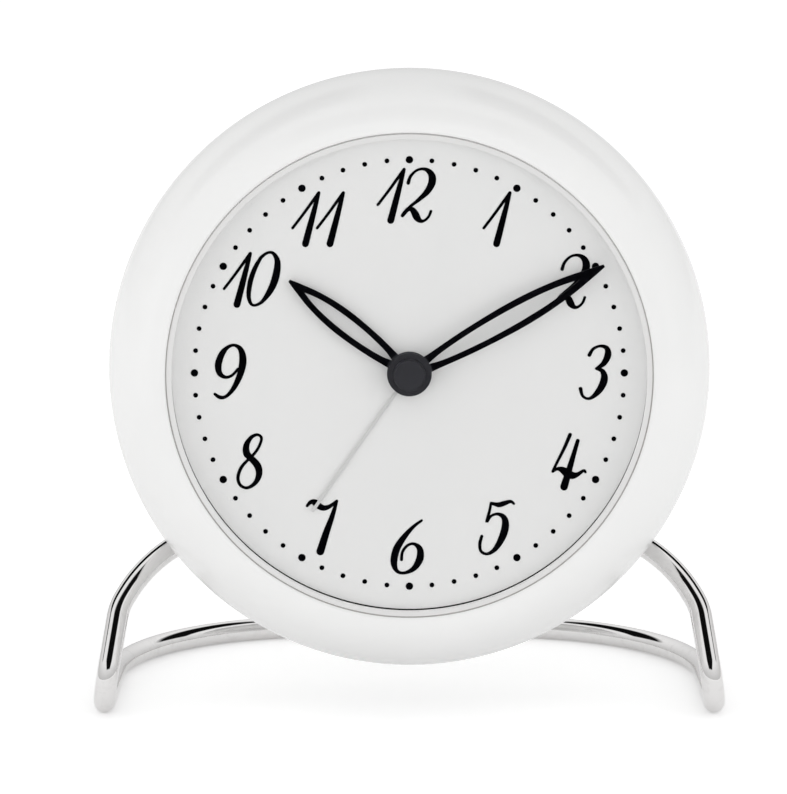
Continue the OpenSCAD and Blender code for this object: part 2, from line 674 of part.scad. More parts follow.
module dial_carrier() color("dimgray") placed() layer([dial_t, carrier_back]) difference() {
    circle(r = carrier_r);
    circle(r = boss_hole_r);
    around(ring_boss_place_r, [0 : 90 : 270]) circle(r = ring_boss_r + part_gap);
    corners(post_place) circle(r = movement_screw_r + snug_fit);
}

// Numerals, drawn as pen strokes
function slanted(p) = [(p[0] + slant_share * p[1]) * numeral_h, p[1] * numeral_h];
function pen_half(w) = (hair_share + (stem_share - hair_share) * w) * numeral_h / 2;
function digit_xs(d) = [for (s = digit_shares[d], p = s) slanted(p).x];
function digits_of(hour) = hour < 10 ? [hour] : [1, hour - 10];
module stroke(points) {
    path = smooth(points, pen_steps);
    last = len(path) - 1;
    spots = [for (p = path) slanted(p)];
    sides = [for (i = [0 : last])
        let (way = unit(spots[min(i + 1, last)] - spots[max(i - 1, 0)])) [-way.y, way.x] * pen_half(path[i][2])];
    for (i = [0 : last - 1]) polygon([
        spots[i] + sides[i], spots[i + 1] + sides[i + 1], spots[i + 1] - sides[i + 1], spots[i] - sides[i]
    ]);
    for (i = [0, last]) translate(spots[i]) circle(r = pen_half(path[i][2]), $fn = 12);
}
module numeral(hour) {
    digits = digits_of(hour);
    first = digit_xs(digits[0]);
    next = len(digits) > 1 ? digit_xs(digits[1]) : first;
    step = len(digits) > 1 ? max(first) - min(next) - overlap_share * numeral_h : 0;
    translate([-(min(first) + max(next) + step) / 2, -numeral_h / 2])
        for (i = [0 : len(digits) - 1]) translate([i * step, 0]) for (s = digit_shares[digits[i]]) stroke(s);
}
module numerals() color("black") placed() layer([-ink_t, 0]) offset(delta = pen_spread)
    for (i = [0 : 11]) translate(place_shares[i] * numeral_ring_r) numeral(i == 0 ? 12 : i);

// Case
module drum_outline() polygon(concat(
    [[drum_in_r, -carrier_back], [drum_r, -carrier_back], [drum_r, -flange_front], [flange_r, -flange_front],
     [flange_r, -ring_back], [drum_r, -ring_back]],
    oval([drum_r - drum_edge_r, -case_depth + drum_edge_r], drum_edge_r, drum_edge_r, 0, -90, 6),
    [[drum_in_r, -case_depth]]
));
module both_sides() {
    children();
    mirror([1, 0, 0]) children();
}
module snooze_bracket() layer(bracket_layer) intersection() {
    circle(r = drum_r - drum_edge_r);
    difference() {
        translate([-bracket_w / 2, snooze_bottom - bracket_t]) square([bracket_w, drum_r]);
        translate([-bracket_w / 2 + bracket_t, snooze_bottom]) square([bracket_w - 2 * bracket_t, drum_r]);
    }
}
module upward(depth, low, high, r) translate([0, high, -depth]) rotate([90, 0, 0]) cylinder(r = r, h = high - low);
module case_drum() color("whitesmoke") placed() difference() {
    union() {
        rotate_extrude() drum_outline();
        for (a = cover_post_angles) rotate([0, 0, a]) layer([cover_front - cover_post_l, cover_front]) {
            translate([cover_post_place_r, 0]) circle(r = cover_post_r);
            translate([cover_post_place_r, -cover_post_r]) square([drum_r - drum_edge_r - cover_post_place_r, 2 * cover_post_r]);
        }
        snooze_bracket();
        both_sides() rod(drum_entry + dial_way * socket_start,
            drum_entry + dial_way * (socket_l + socket_floor), wire_r + socket_wall);
    }
    both_sides() rod(drum_entry - dial_way * wire_d, drum_entry + dial_way * socket_l, wire_r + run_fit);
    around(cover_post_place_r, cover_post_angles)
        pin(small_screw_r + snug_fit, [cover_front - cover_screw_l, cover_front + overrun]);
    around(ring_boss_place_r, [0 : 90 : 270]) {
        pin(small_screw_r + run_fit, [flange_front - overrun, ring_back]);
        pin(small_head_r + run_fit, [ring_back - small_head_t, ring_back + overrun]);
    }
    upward(button_depth, drum_in_r - drum_wall, drum_r + overrun, button_r + 2 * run_fit);
}
module small_screw(head_back, l) {
    pin(small_head_r, [head_back - small_head_t, head_back]);
    pin(small_screw_r, [head_back - small_head_t - l, head_back - small_head_t]);
}
module ring_screws() color("silver") placed() around(ring_boss_place_r, [0 : 90 : 270])
    small_screw(ring_back, ring_screw_l - part_gap);
module cover_screws() color("silver") placed() around(cover_post_place_r, cover_post_angles)
    small_screw(case_depth - part_gap, cover_screw_l);
module tub_box(l, h, depths) translate([0, tub_y]) layer(depths) square([l, h], center = true);
module rear_cover() color("whitesmoke") placed() difference() {
    union() {
        pin(cover_r, [cover_front, case_depth]);
        tub_box(tub_in_l + 2 * tub_wall, tub_in_h + 2 * tub_wall, [tub_front, case_depth]);
    }
    tub_box(tub_in_l, tub_in_h, [tub_in_front, case_depth + overrun]);
    tub_box(door_l + 2 * part_gap, door_h + 2 * part_gap, [tub_back, case_depth + overrun]);
    both_sides() translate([contact_x - run_fit, tub_y - contact_w / 4 - run_fit, -tub_in_front - overrun])
        cube([contact_t + run_fit, contact_w / 2 + 2 * run_fit, tub_wall + 2 * overrun]);
    around(cover_post_place_r, cover_post_angles) {
        pin(small_screw_r + part_gap, [cover_front - overrun, case_depth]);
        pin(small_head_r + run_fit, [case_depth - part_gap - small_head_t, case_depth + overrun]);
    }
    for (p = [time_place, alarm_place]) at(p) pin(arbor_r + run_fit, [cover_front - overrun, case_depth + overrun]);
    at(buzzer_place) pin(sound_hole_r, [cover_front - overrun, case_depth + overrun]);
    at(buzzer_place) for (i = [1 : sound_holes]) translate(polar(sound_ring_r, i * 360 / sound_holes))
        pin(sound_hole_r, [cover_front - overrun, case_depth + overrun]);
    at(slide_place) layer([cover_front - overrun, case_depth + overrun])
        square([slide_block.x + switch_travel + 2 * part_gap, slide_block.y + 2 * run_fit], center = true);
}
module battery_door() color("whitesmoke") placed() difference() {
    tub_box(door_l, door_h, [tub_back, case_depth]);
    translate([0, tub_y + door_h / 2]) layer([case_depth - notch_depth, case_depth + overrun]) circle(r = notch_r);
}

// Battery
module battery_cell() color("goldenrod") placed() translate([0, tub_y, -cell_depth]) rotate([0, 90, 0]) {
    translate([0, 0, -cell_l / 2]) cylinder(d = cell_d, h = cell_l - nub_l);
    translate([0, 0, cell_l / 2 - nub_l]) cylinder(r = nub_r, h = nub_l);
}
module contact_plate() {
    translate([contact_x, tub_y - contact_w / 2, -cell_depth - contact_w / 2])
        cube([contact_t, contact_w, contact_w / 2 + cell_depth - tub_in_front - run_fit]);
    translate([contact_x, tub_y - contact_w / 4, -tub_in_front - contact_t])
        cube([contact_t, contact_w / 2, tub_in_front - lead_depth - lead_r + contact_t]);
}
module plus_contact() color("silver") placed() {
    contact_plate();
    translate([cell_l / 2, tub_y, -cell_depth]) rotate([0, 90, 0]) cylinder(r = nub_r, h = contact_x - cell_l / 2);
}
module minus_contact() color("silver") placed() mirror([1, 0, 0]) {
    contact_plate();
    translate([cell_l / 2, tub_y, -cell_depth]) rotate([0, 90, 0])
        cylinder(r1 = nub_r, r2 = 2 * nub_r - contact_w / 4, h = contact_x - cell_l / 2);
}
lead_x = contact_x + contact_t / 2;
module battery_leads() color("firebrick") placed() both_sides() rod_path([
    [lead_x, tub_y - contact_w / 4, -lead_depth], [lead_x, lead_y, -lead_depth],
    [lead_end.x, lead_end.y, -lead_depth], [lead_end.x, lead_end.y, -board_layer[1]]
], [lead_bend_r, lead_bend_r], lead_r);
module buzzer_leads() color("firebrick") placed() both_sides() at([buzzer_lead_x, buzzer_place.y])
    pin(lead_r, [board_layer[1], buzzer_front]);

// Stand
module stand_wire() color("silver") translate([0, shift_y, 0]) rod_path(wire_points, wire_bends, wire_r);

// Movement
module housing_floor_plan(inset) round_box(housing_w - 2 * inset, housing_w - 2 * inset, housing_corner_r - inset);
module movement_housing() color("dimgray") placed() {
    layer([carrier_back, housing_floor]) difference() {
        housing_floor_plan(0);
        circle(r = alarm_pipe_r + run_fit);
        corners(post_place) circle(r = movement_screw_r + run_fit);
    }
    layer([carrier_back, housing_back]) difference() {
        housing_floor_plan(0);
        housing_floor_plan(housing_wall);
    }
    pipe(housing_boss_r, alarm_pipe_r + run_fit, [0, housing_floor]);
    corners(post_place) pipe(shoulder_r, movement_screw_r + run_fit, [carrier_back, middle_layer[0]]);
    corners(post_place) pipe(post_r, movement_screw_r + run_fit, [carrier_back, housing_back]);
    both_sides() at([board_post_x, board_y]) pin(board_post_r, [carrier_back, board_layer[0]]);
    at(motion_place) pin(pivot_pin_r, [carrier_back, pivot_pin_end]);
    at(idler_place) pin(pivot_pin_r, [carrier_back, alarm_layer[1] + part_gap]);
}
module middle_plate() color("gray") placed() {
    layer(middle_layer) difference() {
        housing_floor_plan(housing_wall + part_gap);
        circle(r = arbor_r + run_fit);
        corners(post_place) circle(r = post_r + run_fit);
        both_sides() translate([board_post_x, board_y]) circle(r = board_post_r + part_gap);
        for (p = [time_place, alarm_place]) translate(p) circle(r = arbor_r + run_fit);
        for (p = [third_place, seconds_place, step_place, rotor_place])
            translate(p) circle(r = train_arbor_r + run_fit);
    }
    for (x = core_x) at([x + (x < 0 ? core_w : -core_w) / 2, core_y]) pin(core_post_r, [middle_layer[0], core_layer[0]]);
}
module movement_cover() color("dimgray") placed() layer([housing_back, cover_plate_back]) difference() {
    housing_floor_plan(0);
    corners(post_place) circle(r = movement_screw_r + run_fit);
    for (p = [time_place, alarm_place]) translate(p) circle(r = arbor_r + run_fit);
    for (p = [third_place, seconds_place, step_place, rotor_place])
        translate(p) circle(r = train_arbor_r + run_fit);
    both_sides() translate(lead_end) circle(r = lead_r + part_gap);
    both_sides() translate([buzzer_lead_x, buzzer_place.y]) circle(r = lead_r + part_gap);
}
module movement_screws() color("silver") placed() corners(post_place) {
    pin(movement_head_r, [cover_plate_back, cover_plate_back + movement_head_t]);
    pin(movement_screw_r, [dial_t + part_gap, cover_plate_back]);
}
module circuit_board() color("seagreen") placed() layer(board_layer)
    translate([0, board_y]) square(board_size, center = true);
module clock_chip() color("black") placed() at(chip_place)
    layer([board_layer[1], board_layer[1] + chip_t]) square(chip_size, center = true);
module quartz_crystal() color("silver") placed()
    translate([crystal_x[0], board_y, -board_layer[1] - crystal_r]) rotate([0, 90, 0])
        cylinder(r = crystal_r, h = crystal_x[1] - crystal_x[0]);
module motor_stator() color("silver") placed() difference() {
    union() {
        at(rotor_place) pin(stator_r, stator_layer);
        for (x = [core_x[0] + core_w / 2, core_x[1] - core_w / 2]) {
            elbow = [x, stator_elbow_y];
            way = unit(rotor_place - elbow);
            side = [-way.y, way.x] * stator_arm_w / 2;
            layer(stator_layer) polygon([elbow - side, elbow + side, rotor_place + side, rotor_place - side]);
            layer(stator_layer) translate([x - stator_arm_w / 2, stator_elbow_y])
                square([stator_arm_w, core_y - stator_elbow_y]);
            at(elbow) pin(core_w / 2, stator_layer);
            at([x, core_y]) pin(core_w / 2, stator_layer);
        }
    }
    at(rotor_place) pin(magnet_r + stator_gap, [stator_layer[0] - overrun, stator_layer[1] + overrun]);
}
module coil_core() color("silver") placed() layer(core_layer)
    translate([core_x[0], core_y - core_w / 2]) square([core_x[1] - core_x[0], core_w]);
core_mid = (core_layer[0] + core_layer[1]) / 2;
module across(x, r) translate([x[0], core_y, -core_mid]) rotate([0, 90, 0]) cylinder(r = r, h = x[1] - x[0]);
module coil_bobbin() color("ivory") placed() difference() {
    union() {
        across(bobbin_x, bobbin_r);
        across([bobbin_x[0], bobbin_x[0] + bobbin_flange_t], bobbin_flange_r);
        across([bobbin_x[1] - bobbin_flange_t, bobbin_x[1]], bobbin_flange_r);
    }
    layer([core_layer[0] - run_fit, core_layer[1] + run_fit])
        translate([core_x[0], core_y - core_w / 2 - run_fit]) square([core_x[1] - core_x[0], core_w + 2 * run_fit]);
}
module coil_winding() color("chocolate") placed() difference() {
    across([bobbin_x[0] + bobbin_flange_t, bobbin_x[1] - bobbin_flange_t], winding_r);
    across(bobbin_x, bobbin_r + snug_fit);
}

// Wheels
module teeth(count, size, phase) polygon([for (k = [0 : count - 1], s = tooth_shares)
    polar(size * (count / 2 + s[1]), phase + (k + s[0]) * 360 / count)]);
module wheel(place, count, size, phase, depths, bore) at(place) layer(depths) difference() {
    teeth(count, size, phase);
    circle(r = bore);
}
module train_wheel(place, count, size, depths, pinion_count, pinion_size, pinion_phase, pinion_depths)
    at(place) {
        layer(depths) teeth(count, size, 0);
        layer(pinion_depths) teeth(pinion_count, pinion_size, pinion_phase);
        pin(train_arbor_r, train_arbor_layer);
    }
module rotor() color("gold") placed() at(rotor_place) {
    layer(rotor_pinion_layer) teeth(rotor_pinion_teeth, step_size, rotor_phase);
    pin(train_arbor_r, train_arbor_layer);
}
module rotor_magnet() color("gray") placed() at(rotor_place) pipe(magnet_r, train_arbor_r + snug_fit, magnet_layer);
module step_wheel() color("gold") placed() train_wheel(
    step_place, centre_teeth, step_size, step_layer,
    cannon_teeth, seconds_size, step_pinion_phase, step_pinion_layer);
module seconds_wheel() color("gold") placed() train_wheel(
    seconds_place, centre_teeth, seconds_size, seconds_layer,
    small_pinion_teeth, third_size, seconds_pinion_phase, seconds_pinion_layer);
module third_wheel() color("gold") placed() train_wheel(
    third_place, third_teeth, third_size, third_layer,
    small_pinion_teeth, centre_size, third_pinion_phase, third_pinion_layer);
module centre_wheel() color("gold") placed()
    wheel(middle, centre_teeth, centre_size, 0, centre_layer, arbor_r + run_fit);
module clutch_washer() color("silver") placed() pipe(washer_r, arbor_r + snug_fit, washer_layer);
module minute_arbor() color("silver") placed() {
    pin(arbor_r, [-arbor_top, arbor_end]);
    layer(cannon_layer) teeth(cannon_teeth, motion_size, 0);
    pin(arbor_shoulder_r, shoulder_layer);
}
module motion_wheel() color("gold") placed() at(motion_place) difference() {
    union() {
        layer(motion_layer) teeth(motion_teeth, motion_size, motion_phase);
        layer([motion_pinion_layer[0], motion_layer[0]]) teeth(motion_pinion_teeth, hour_size, 0);
    }
    pin(pivot_pin_r + run_fit, [motion_pinion_layer[0] - overrun, motion_layer[1] + overrun]);
}
module hour_wheel() color("gold") placed() {
    wheel(middle, hour_teeth, hour_size, hour_phase, hour_layer, arbor_r + run_fit);
    pipe(hour_pipe_r, arbor_r + run_fit, [-hour_pipe_top, hour_layer[0]]);
}
module alarm_wheel() color("gold") placed() {
    wheel(middle, alarm_teeth, alarm_size, 0, alarm_layer, hour_pipe_r + run_fit);
    pipe(alarm_pipe_r, hour_pipe_r + run_fit, [-alarm_pipe_top, alarm_layer[0]]);
}
module alarm_idler() color("gold") placed()
    wheel(idler_place, idler_teeth, alarm_size, idler_phase, alarm_layer, pivot_pin_r + run_fit);
module alarm_contact() color("silver") placed() {
    translate([0, spring_post_y]) pin(spring_post_r, [housing_floor, spring_layer[1]]);
    layer(spring_layer) translate([-spring_w / 2, spring_post_y])
        square([spring_w, -spring_post_y - hour_size * (hour_teeth / 2 + 1) - part_gap]);
}

// Setting shafts and knobs
knob_back = case_depth + knob_gap + knob_l;
module knob(place) at(place) difference() {
    layer([case_depth + knob_gap, knob_back]) polygon([for (k = [0 : knob_grips - 1], s = grip_shares)
        polar(knob_d / 2 + s[1] * knob_grip, (k + s[0]) * 360 / knob_grips)]);
    pin(arbor_r + snug_fit, [case_depth, knob_back - knob_cover_t + part_gap]);
}
module time_arbor() color("silver") placed() at(time_place) {
    layer(motion_layer) teeth(cannon_teeth, motion_size, time_phase);
    pin(arbor_r, [motion_layer[0] - part_gap, knob_back - knob_cover_t]);
}
module time_knob() color("whitesmoke") placed() knob(time_place);
module alarm_arbor() color("silver") placed() at(alarm_place) {
    layer(alarm_layer) teeth(cannon_teeth, alarm_size, alarm_pinion_phase);
    pin(arbor_r, [alarm_layer[0] - part_gap, knob_back - knob_cover_t]);
}
module alarm_knob() color("whitesmoke") placed() knob(alarm_place);

// Hands
module clockwise(a) rotate([0, 0, 90 - a]) children();
function leaf(from, to, w, shares) = let (
    half = smooth([for (s = shares) [from + s[0] * (to - from), s[1] * w / 2]], curve_steps)) concat(
    [for (p = half) p],
    [for (i = [len(half) - 1 : -1 : 0]) [half[i].x, -half[i].y]]);
module hand(l, w, slot_w, hub_r, hole_r, a, z) color("dimgray") placed() clockwise(a) difference() {
    union() {
        pin(hub_r, [-z - hand_t, -z]);
        layer([-z - hand_t, -z]) polygon(leaf(0, l, w, leaf_shares));
    }
    layer([-z - hand_t - overrun, -z + overrun]) polygon(leaf(hub_r, slot_end_share * l, slot_w, slot_shares));
    pin(hole_r, [-z - hand_t - overrun, -z + overrun]);
}
module hour_hand() hand(
    hour_hand_l, hour_hand_w, hour_slot_w, hour_hub_r, hour_pipe_r + snug_fit, hour_angle, hour_hand_z);
module minute_hand() hand(
    minute_hand_l, minute_hand_w, minute_slot_w, minute_hub_r, arbor_r + snug_fit, minute_angle, minute_hand_z);
alarm_hand_layer = [-alarm_hand_z - hand_t, -alarm_hand_z];
module alarm_hand() color("silver") placed() clockwise(alarm_angle) difference() {
    union() {
        pin(alarm_hub_r, alarm_hand_layer);
        layer(alarm_hand_layer) translate([0, -alarm_hand_w / 2]) square([alarm_hand_l, alarm_hand_w]);
    }
    pin(alarm_pipe_r + snug_fit, [alarm_hand_layer[0] - overrun, alarm_hand_layer[1] + overrun]);
}
cap_z = minute_hand_z + hand_t;
module hub_cap() color("dimgray") placed() difference() {
    rotate_extrude() polygon(concat(
        [[0, cap_z], [hub_cap_d / 2, cap_z]],
        oval([hub_cap_d / 2 - cap_edge_r, cap_z + cap_t - cap_edge_r], cap_edge_r, cap_edge_r, 0, 90, 6),
        [[0, cap_z + cap_t]]
    ));
    pin(arbor_r + snug_fit, [-arbor_top - snug_fit, -cap_z + overrun]);
}

// Alarm sounder and switches
module buzzer_case() color("black") placed() at(buzzer_place) difference() {
    pin(buzzer_r, [buzzer_front, cover_front]);
    pin(buzzer_r - buzzer_wall, [buzzer_front + buzzer_wall, cover_front - buzzer_wall]);
    pin(sound_hole_r * 2, [cover_front - buzzer_wall - overrun, cover_front + overrun]);
}
module buzzer_disc() color("gold") placed() at(buzzer_place) pin(
    buzzer_r - buzzer_wall - snug_fit,
    [buzzer_front + buzzer_wall, buzzer_front + buzzer_wall + buzzer_disc_t]);
module slide_switch() color("black") placed() at(slide_place) difference() {
    layer([cover_front - slide_case_t, cover_front]) square(slide_case, center = true);
    layer([cover_front - slide_case_t + slide_floor, cover_front + overrun])
        square([slide_block.x + switch_travel + 2 * part_gap, slide_block.y + 2 * run_fit], center = true);
}
module alarm_slide() color("black") placed() at(slide_place)
    layer([cover_front - slide_case_t + slide_floor + run_fit, case_depth + slide_rise]) square(slide_block, center = true);
module snooze_button() color("whitesmoke") placed() {
    upward(button_depth, skirt_top, button_top, button_r);
    upward(button_depth, skirt_bottom, skirt_top, button_r + button_skirt);
    upward(button_depth, button_bottom, skirt_bottom, plunger_r);
}
module switch_plunger() color("silver") placed()
    upward(button_depth, button_bottom - plunger_l, button_bottom, plunger_r);
module snooze_switch() color("black") placed() difference() {
    translate([-snooze_case.x / 2, snooze_bottom, -button_depth - snooze_case.y / 2])
        cube([snooze_case.x, snooze_case_h, snooze_case.y]);
    upward(button_depth, button_bottom - plunger_l - button_travel - part_gap, snooze_top + overrun, plunger_r + run_fit);
}

front_ring();
lens();
dial_gasket();
dial();
minute_track();
numerals();
dial_carrier();
case_drum();
ring_screws();
rear_cover();
cover_screws();
battery_door();
battery_cell();
plus_contact();
minus_contact();
battery_leads();
stand_wire();
movement_housing();
middle_plate();
movement_cover();
movement_screws();
circuit_board();
clock_chip();
quartz_crystal();
motor_stator();
coil_core();
coil_bobbin();
coil_winding();
rotor();
rotor_magnet();
step_wheel();
seconds_wheel();
third_wheel();
centre_wheel();
clutch_washer();
minute_arbor();
motion_wheel();
hour_wheel();
alarm_wheel();
alarm_idler();
alarm_contact();
time_arbor();
time_knob();
alarm_arbor();
alarm_knob();
alarm_hand();
hour_hand();
minute_hand();
hub_cap();
buzzer_case();
buzzer_disc();
buzzer_leads();
slide_switch();
alarm_slide();
snooze_button();
switch_plunger();
snooze_switch();
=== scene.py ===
import json
import math

import bmesh
import bpy
from mathutils import Matrix, Vector

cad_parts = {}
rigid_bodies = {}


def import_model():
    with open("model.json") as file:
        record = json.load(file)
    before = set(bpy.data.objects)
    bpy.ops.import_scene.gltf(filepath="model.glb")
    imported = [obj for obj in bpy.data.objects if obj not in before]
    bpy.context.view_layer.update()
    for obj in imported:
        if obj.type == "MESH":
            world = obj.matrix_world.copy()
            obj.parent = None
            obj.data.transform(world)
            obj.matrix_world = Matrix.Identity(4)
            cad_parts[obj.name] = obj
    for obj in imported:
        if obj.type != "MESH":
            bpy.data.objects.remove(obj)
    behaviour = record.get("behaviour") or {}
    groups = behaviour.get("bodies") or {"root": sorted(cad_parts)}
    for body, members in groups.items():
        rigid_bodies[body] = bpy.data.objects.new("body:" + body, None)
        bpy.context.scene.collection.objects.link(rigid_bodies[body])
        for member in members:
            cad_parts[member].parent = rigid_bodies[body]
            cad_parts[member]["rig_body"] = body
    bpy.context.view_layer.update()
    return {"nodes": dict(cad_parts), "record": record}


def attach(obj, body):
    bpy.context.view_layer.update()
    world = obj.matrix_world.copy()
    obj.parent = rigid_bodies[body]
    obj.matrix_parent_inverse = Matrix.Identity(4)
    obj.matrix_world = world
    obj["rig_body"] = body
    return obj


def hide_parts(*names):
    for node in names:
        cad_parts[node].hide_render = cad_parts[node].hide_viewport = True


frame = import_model()
scene = bpy.context.scene
nodes = frame["nodes"]
slotOf = {sub["node"]: sub["material_slot"] for sub in frame["record"]["subparts"]}
print("frame loaded:", len(nodes), "parts")

# The dial's own frame, in millimetres: x to the right, y up the dial, z out of its face.
# The stand's frame lies on the table, midway between the wire's two front feet.
clockSeat = {"height": 64.9, "setback": 28.3125, "tilt": 6.4, "feetAhead": 6.0}
mm = 0.001
millimetres = Matrix.Scale(mm, 4)
dialFrame = (
    millimetres
    @ Matrix.Translation((0, -clockSeat["setback"], clockSeat["height"]))
    @ Matrix.Rotation(math.radians(90 - clockSeat["tilt"]), 4, "X")
)
standFrame = millimetres @ Matrix.Translation((0, -clockSeat["setback"] - clockSeat["feetAhead"], 0))


def socketGroup(name, inputs, outputs):
    group = bpy.data.node_groups.new(name, "ShaderNodeTree")
    for label, kind, value in inputs:
        made = group.interface.new_socket(label, in_out="INPUT", socket_type=kind)
        if value is not None:
            made.default_value = value
    for label, kind in outputs:
        group.interface.new_socket(label, in_out="OUTPUT", socket_type=kind)
    return group, group.nodes.new("NodeGroupInput"), group.nodes.new("NodeGroupOutput")


def addNode(tree, kind, settings=None, links=None):
    node = tree.nodes.new(kind)
    for key, value in (settings or {}).items():
        if key in node.inputs:
            node.inputs[key].default_value = value
        else:
            setattr(node, key, value)
    for key, source in (links or {}).items():
        tree.links.new(source, node.inputs[key])
    return node


# A socket takes another node's output, a plain value or a tone.
def feed(tree, socket, source):
    if isinstance(source, bpy.types.NodeSocket):
        tree.links.new(source, socket)
    else:
        socket.default_value = (*source, 1) if isinstance(source, tuple) else source


def ramp(tree, value, start, end, low=0.0, high=1.0):
    made = addNode(tree, "ShaderNodeMapRange",
                   {"From Min": start, "From Max": end, "To Min": low, "To Max": high}, {"Value": value})
    return made.outputs["Result"]


def combine(tree, operation, first, second):
    made = addNode(tree, "ShaderNodeMath", {"operation": operation})
    for socket, source in zip(made.inputs, (first, second)):
        feed(tree, socket, source)
    return made.outputs["Value"]


# A soft-edged window: up between the first two values, down between the last two.
def window(tree, value, edges):
    down = ramp(tree, value, edges[2], edges[3], 1.0, 0.0)
    if edges[0] == edges[1]:
        return down
    return combine(tree, "MULTIPLY", ramp(tree, value, edges[0], edges[1]), down)


mixSockets = {"factor": 0, "first": 6, "second": 7, "result": 2}  # places of a Mix node's colour sockets


def mixColour(tree, factor, first, second, blend="MIX"):
    mix = addNode(tree, "ShaderNodeMix", {"data_type": "RGBA", "blend_type": blend})
    for side, source in (("factor", factor), ("first", first), ("second", second)):
        feed(tree, mix.inputs[mixSockets[side]], source)
    return mix.outputs[mixSockets["result"]]


def mixShaders(tree, factor, first, second):
    mix = addNode(tree, "ShaderNodeMixShader")
    for socket, source in zip(mix.inputs, (factor, first, second)):
        tree.links.new(source, socket)
    return mix.outputs["Shader"]


# Moulded or painted skin: a slow mottle for the colour and a fine grain for the gloss and the normal.
def buildSkinGroup():
    group, given, result = socketGroup(
        "mouldedSkin",
        [
            ("Place", "NodeSocketVector", None),
            ("Mottle Scale", "NodeSocketFloat", 60.0),
            ("Grain Scale", "NodeSocketFloat", 1800.0),
            ("Depth", "NodeSocketFloat", 0.15),
        ],
        [("Mottle", "NodeSocketFloat"), ("Grain", "NodeSocketFloat"), ("Normal", "NodeSocketVector")],
    )
    slow = addNode(group, "ShaderNodeTexNoise", {"Detail": 3.0, "Roughness": 0.55},
                   {"Vector": given.outputs["Place"], "Scale": given.outputs["Mottle Scale"]})
    fine = addNode(group, "ShaderNodeTexNoise", {"Detail": 4.0, "Roughness": 0.6},
                   {"Vector": given.outputs["Place"], "Scale": given.outputs["Grain Scale"]})
    bump = addNode(group, "ShaderNodeBump", {"Distance": 0.0002},
                   {"Height": fine.outputs["Fac"], "Strength": given.outputs["Depth"]})
    group.links.new(ramp(group, slow.outputs["Fac"], 0.35, 0.65), result.inputs["Mottle"])
    group.links.new(fine.outputs["Fac"], result.inputs["Grain"])
    group.links.new(bump.outputs["Normal"], result.inputs["Normal"])
    return group


# Hairline scratches and polishing marks, stretched along one direction.
def buildScratchGroup():
    group, given, result = socketGroup(
        "polishMarks",
        [
            ("Place", "NodeSocketVector", None),
            ("Scale", "NodeSocketFloat", 400.0),
            ("Stretch", "NodeSocketVector", (1.0, 1.0, 0.05)),
            ("Depth", "NodeSocketFloat", 0.05),
        ],
        [("Marks", "NodeSocketFloat"), ("Normal", "NodeSocketVector")],
    )
    stretched = addNode(group, "ShaderNodeVectorMath", {"operation": "MULTIPLY"})
    group.links.new(given.outputs["Place"], stretched.inputs[0])
    group.links.new(given.outputs["Stretch"], stretched.inputs[1])
    lines = addNode(group, "ShaderNodeTexNoise", {"Detail": 5.0, "Roughness": 0.65, "Distortion": 0.4},
                    {"Vector": stretched.outputs["Vector"], "Scale": given.outputs["Scale"]})
    bump = addNode(group, "ShaderNodeBump", {"Distance": 0.00005},
                   {"Height": lines.outputs["Fac"], "Strength": given.outputs["Depth"]})
    group.links.new(ramp(group, lines.outputs["Fac"], 0.5, 0.72), result.inputs["Marks"])
    group.links.new(bump.outputs["Normal"], result.inputs["Normal"])
    return group


# Dust that settles where a surface looks up.
def buildDustGroup():
    group, given, result = socketGroup(
        "settledDust",
        [("Place", "NodeSocketVector", None), ("Amount", "NodeSocketFloat", 0.1)],
        [("Dust", "NodeSocketFloat")],
    )
    shape = addNode(group, "ShaderNodeNewGeometry")
    split = addNode(group, "ShaderNodeSeparateXYZ", links={"Vector": shape.outputs["Normal"]})
    specks = addNode(group, "ShaderNodeTexNoise", {"Scale": 900.0, "Detail": 6.0, "Roughness": 0.7},
                     {"Vector": given.outputs["Place"]})
    settled = combine(group, "MULTIPLY", ramp(group, split.outputs["Z"], 0.2, 1.0),
                      ramp(group, specks.outputs["Fac"], 0.45, 0.8))
    group.links.new(combine(group, "MULTIPLY", settled, given.outputs["Amount"]), result.inputs["Dust"])
    return group


skinGroup, scratchGroup, dustGroup = buildSkinGroup(), buildScratchGroup(), buildDustGroup()
dustTone = (0.62, 0.6, 0.57)


def newMaterial(name, **plain):
    made = bpy.data.materials.new(name)
    made.use_nodes = True
    shader = made.node_tree.nodes["Principled BSDF"]
    for key, value in plain.items():
        shader.inputs[key.replace("_", " ")].default_value = value
    place = addNode(made.node_tree, "ShaderNodeTexCoord")
    return made, made.node_tree, shader, place.outputs["Object"]


def feedShader(tree, shader, colour, gloss, normal):
    for label, source in (("Base Color", colour), ("Roughness", gloss), ("Normal", normal)):
        tree.links.new(source, shader.inputs[label])


# Moulded plastic, paint or lacquer: a look gives its two tones, its range of gloss and its grain.
def skinMaterial(name, look):
    made, tree, shader, place = newMaterial(name, **look.get("plain", {}))
    skin = addNode(tree, "ShaderNodeGroup",
                   {"node_tree": skinGroup, "Mottle Scale": look["mottleScale"],
                    "Grain Scale": look["grainScale"], "Depth": look["depth"]}, {"Place": place})
    colour = mixColour(tree, skin.outputs["Mottle"], look["tone"], look["secondTone"])
    if "dust" in look:
        dust = addNode(tree, "ShaderNodeGroup", {"node_tree": dustGroup, "Amount": look["dust"]},
                       {"Place": place})
        colour = mixColour(tree, dust.outputs["Dust"], colour, dustTone)
    gloss = ramp(tree, skin.outputs["Grain"], 0.0, 1.0, *look["gloss"])
    feedShader(tree, shader, colour, gloss, skin.outputs["Normal"])
    return made


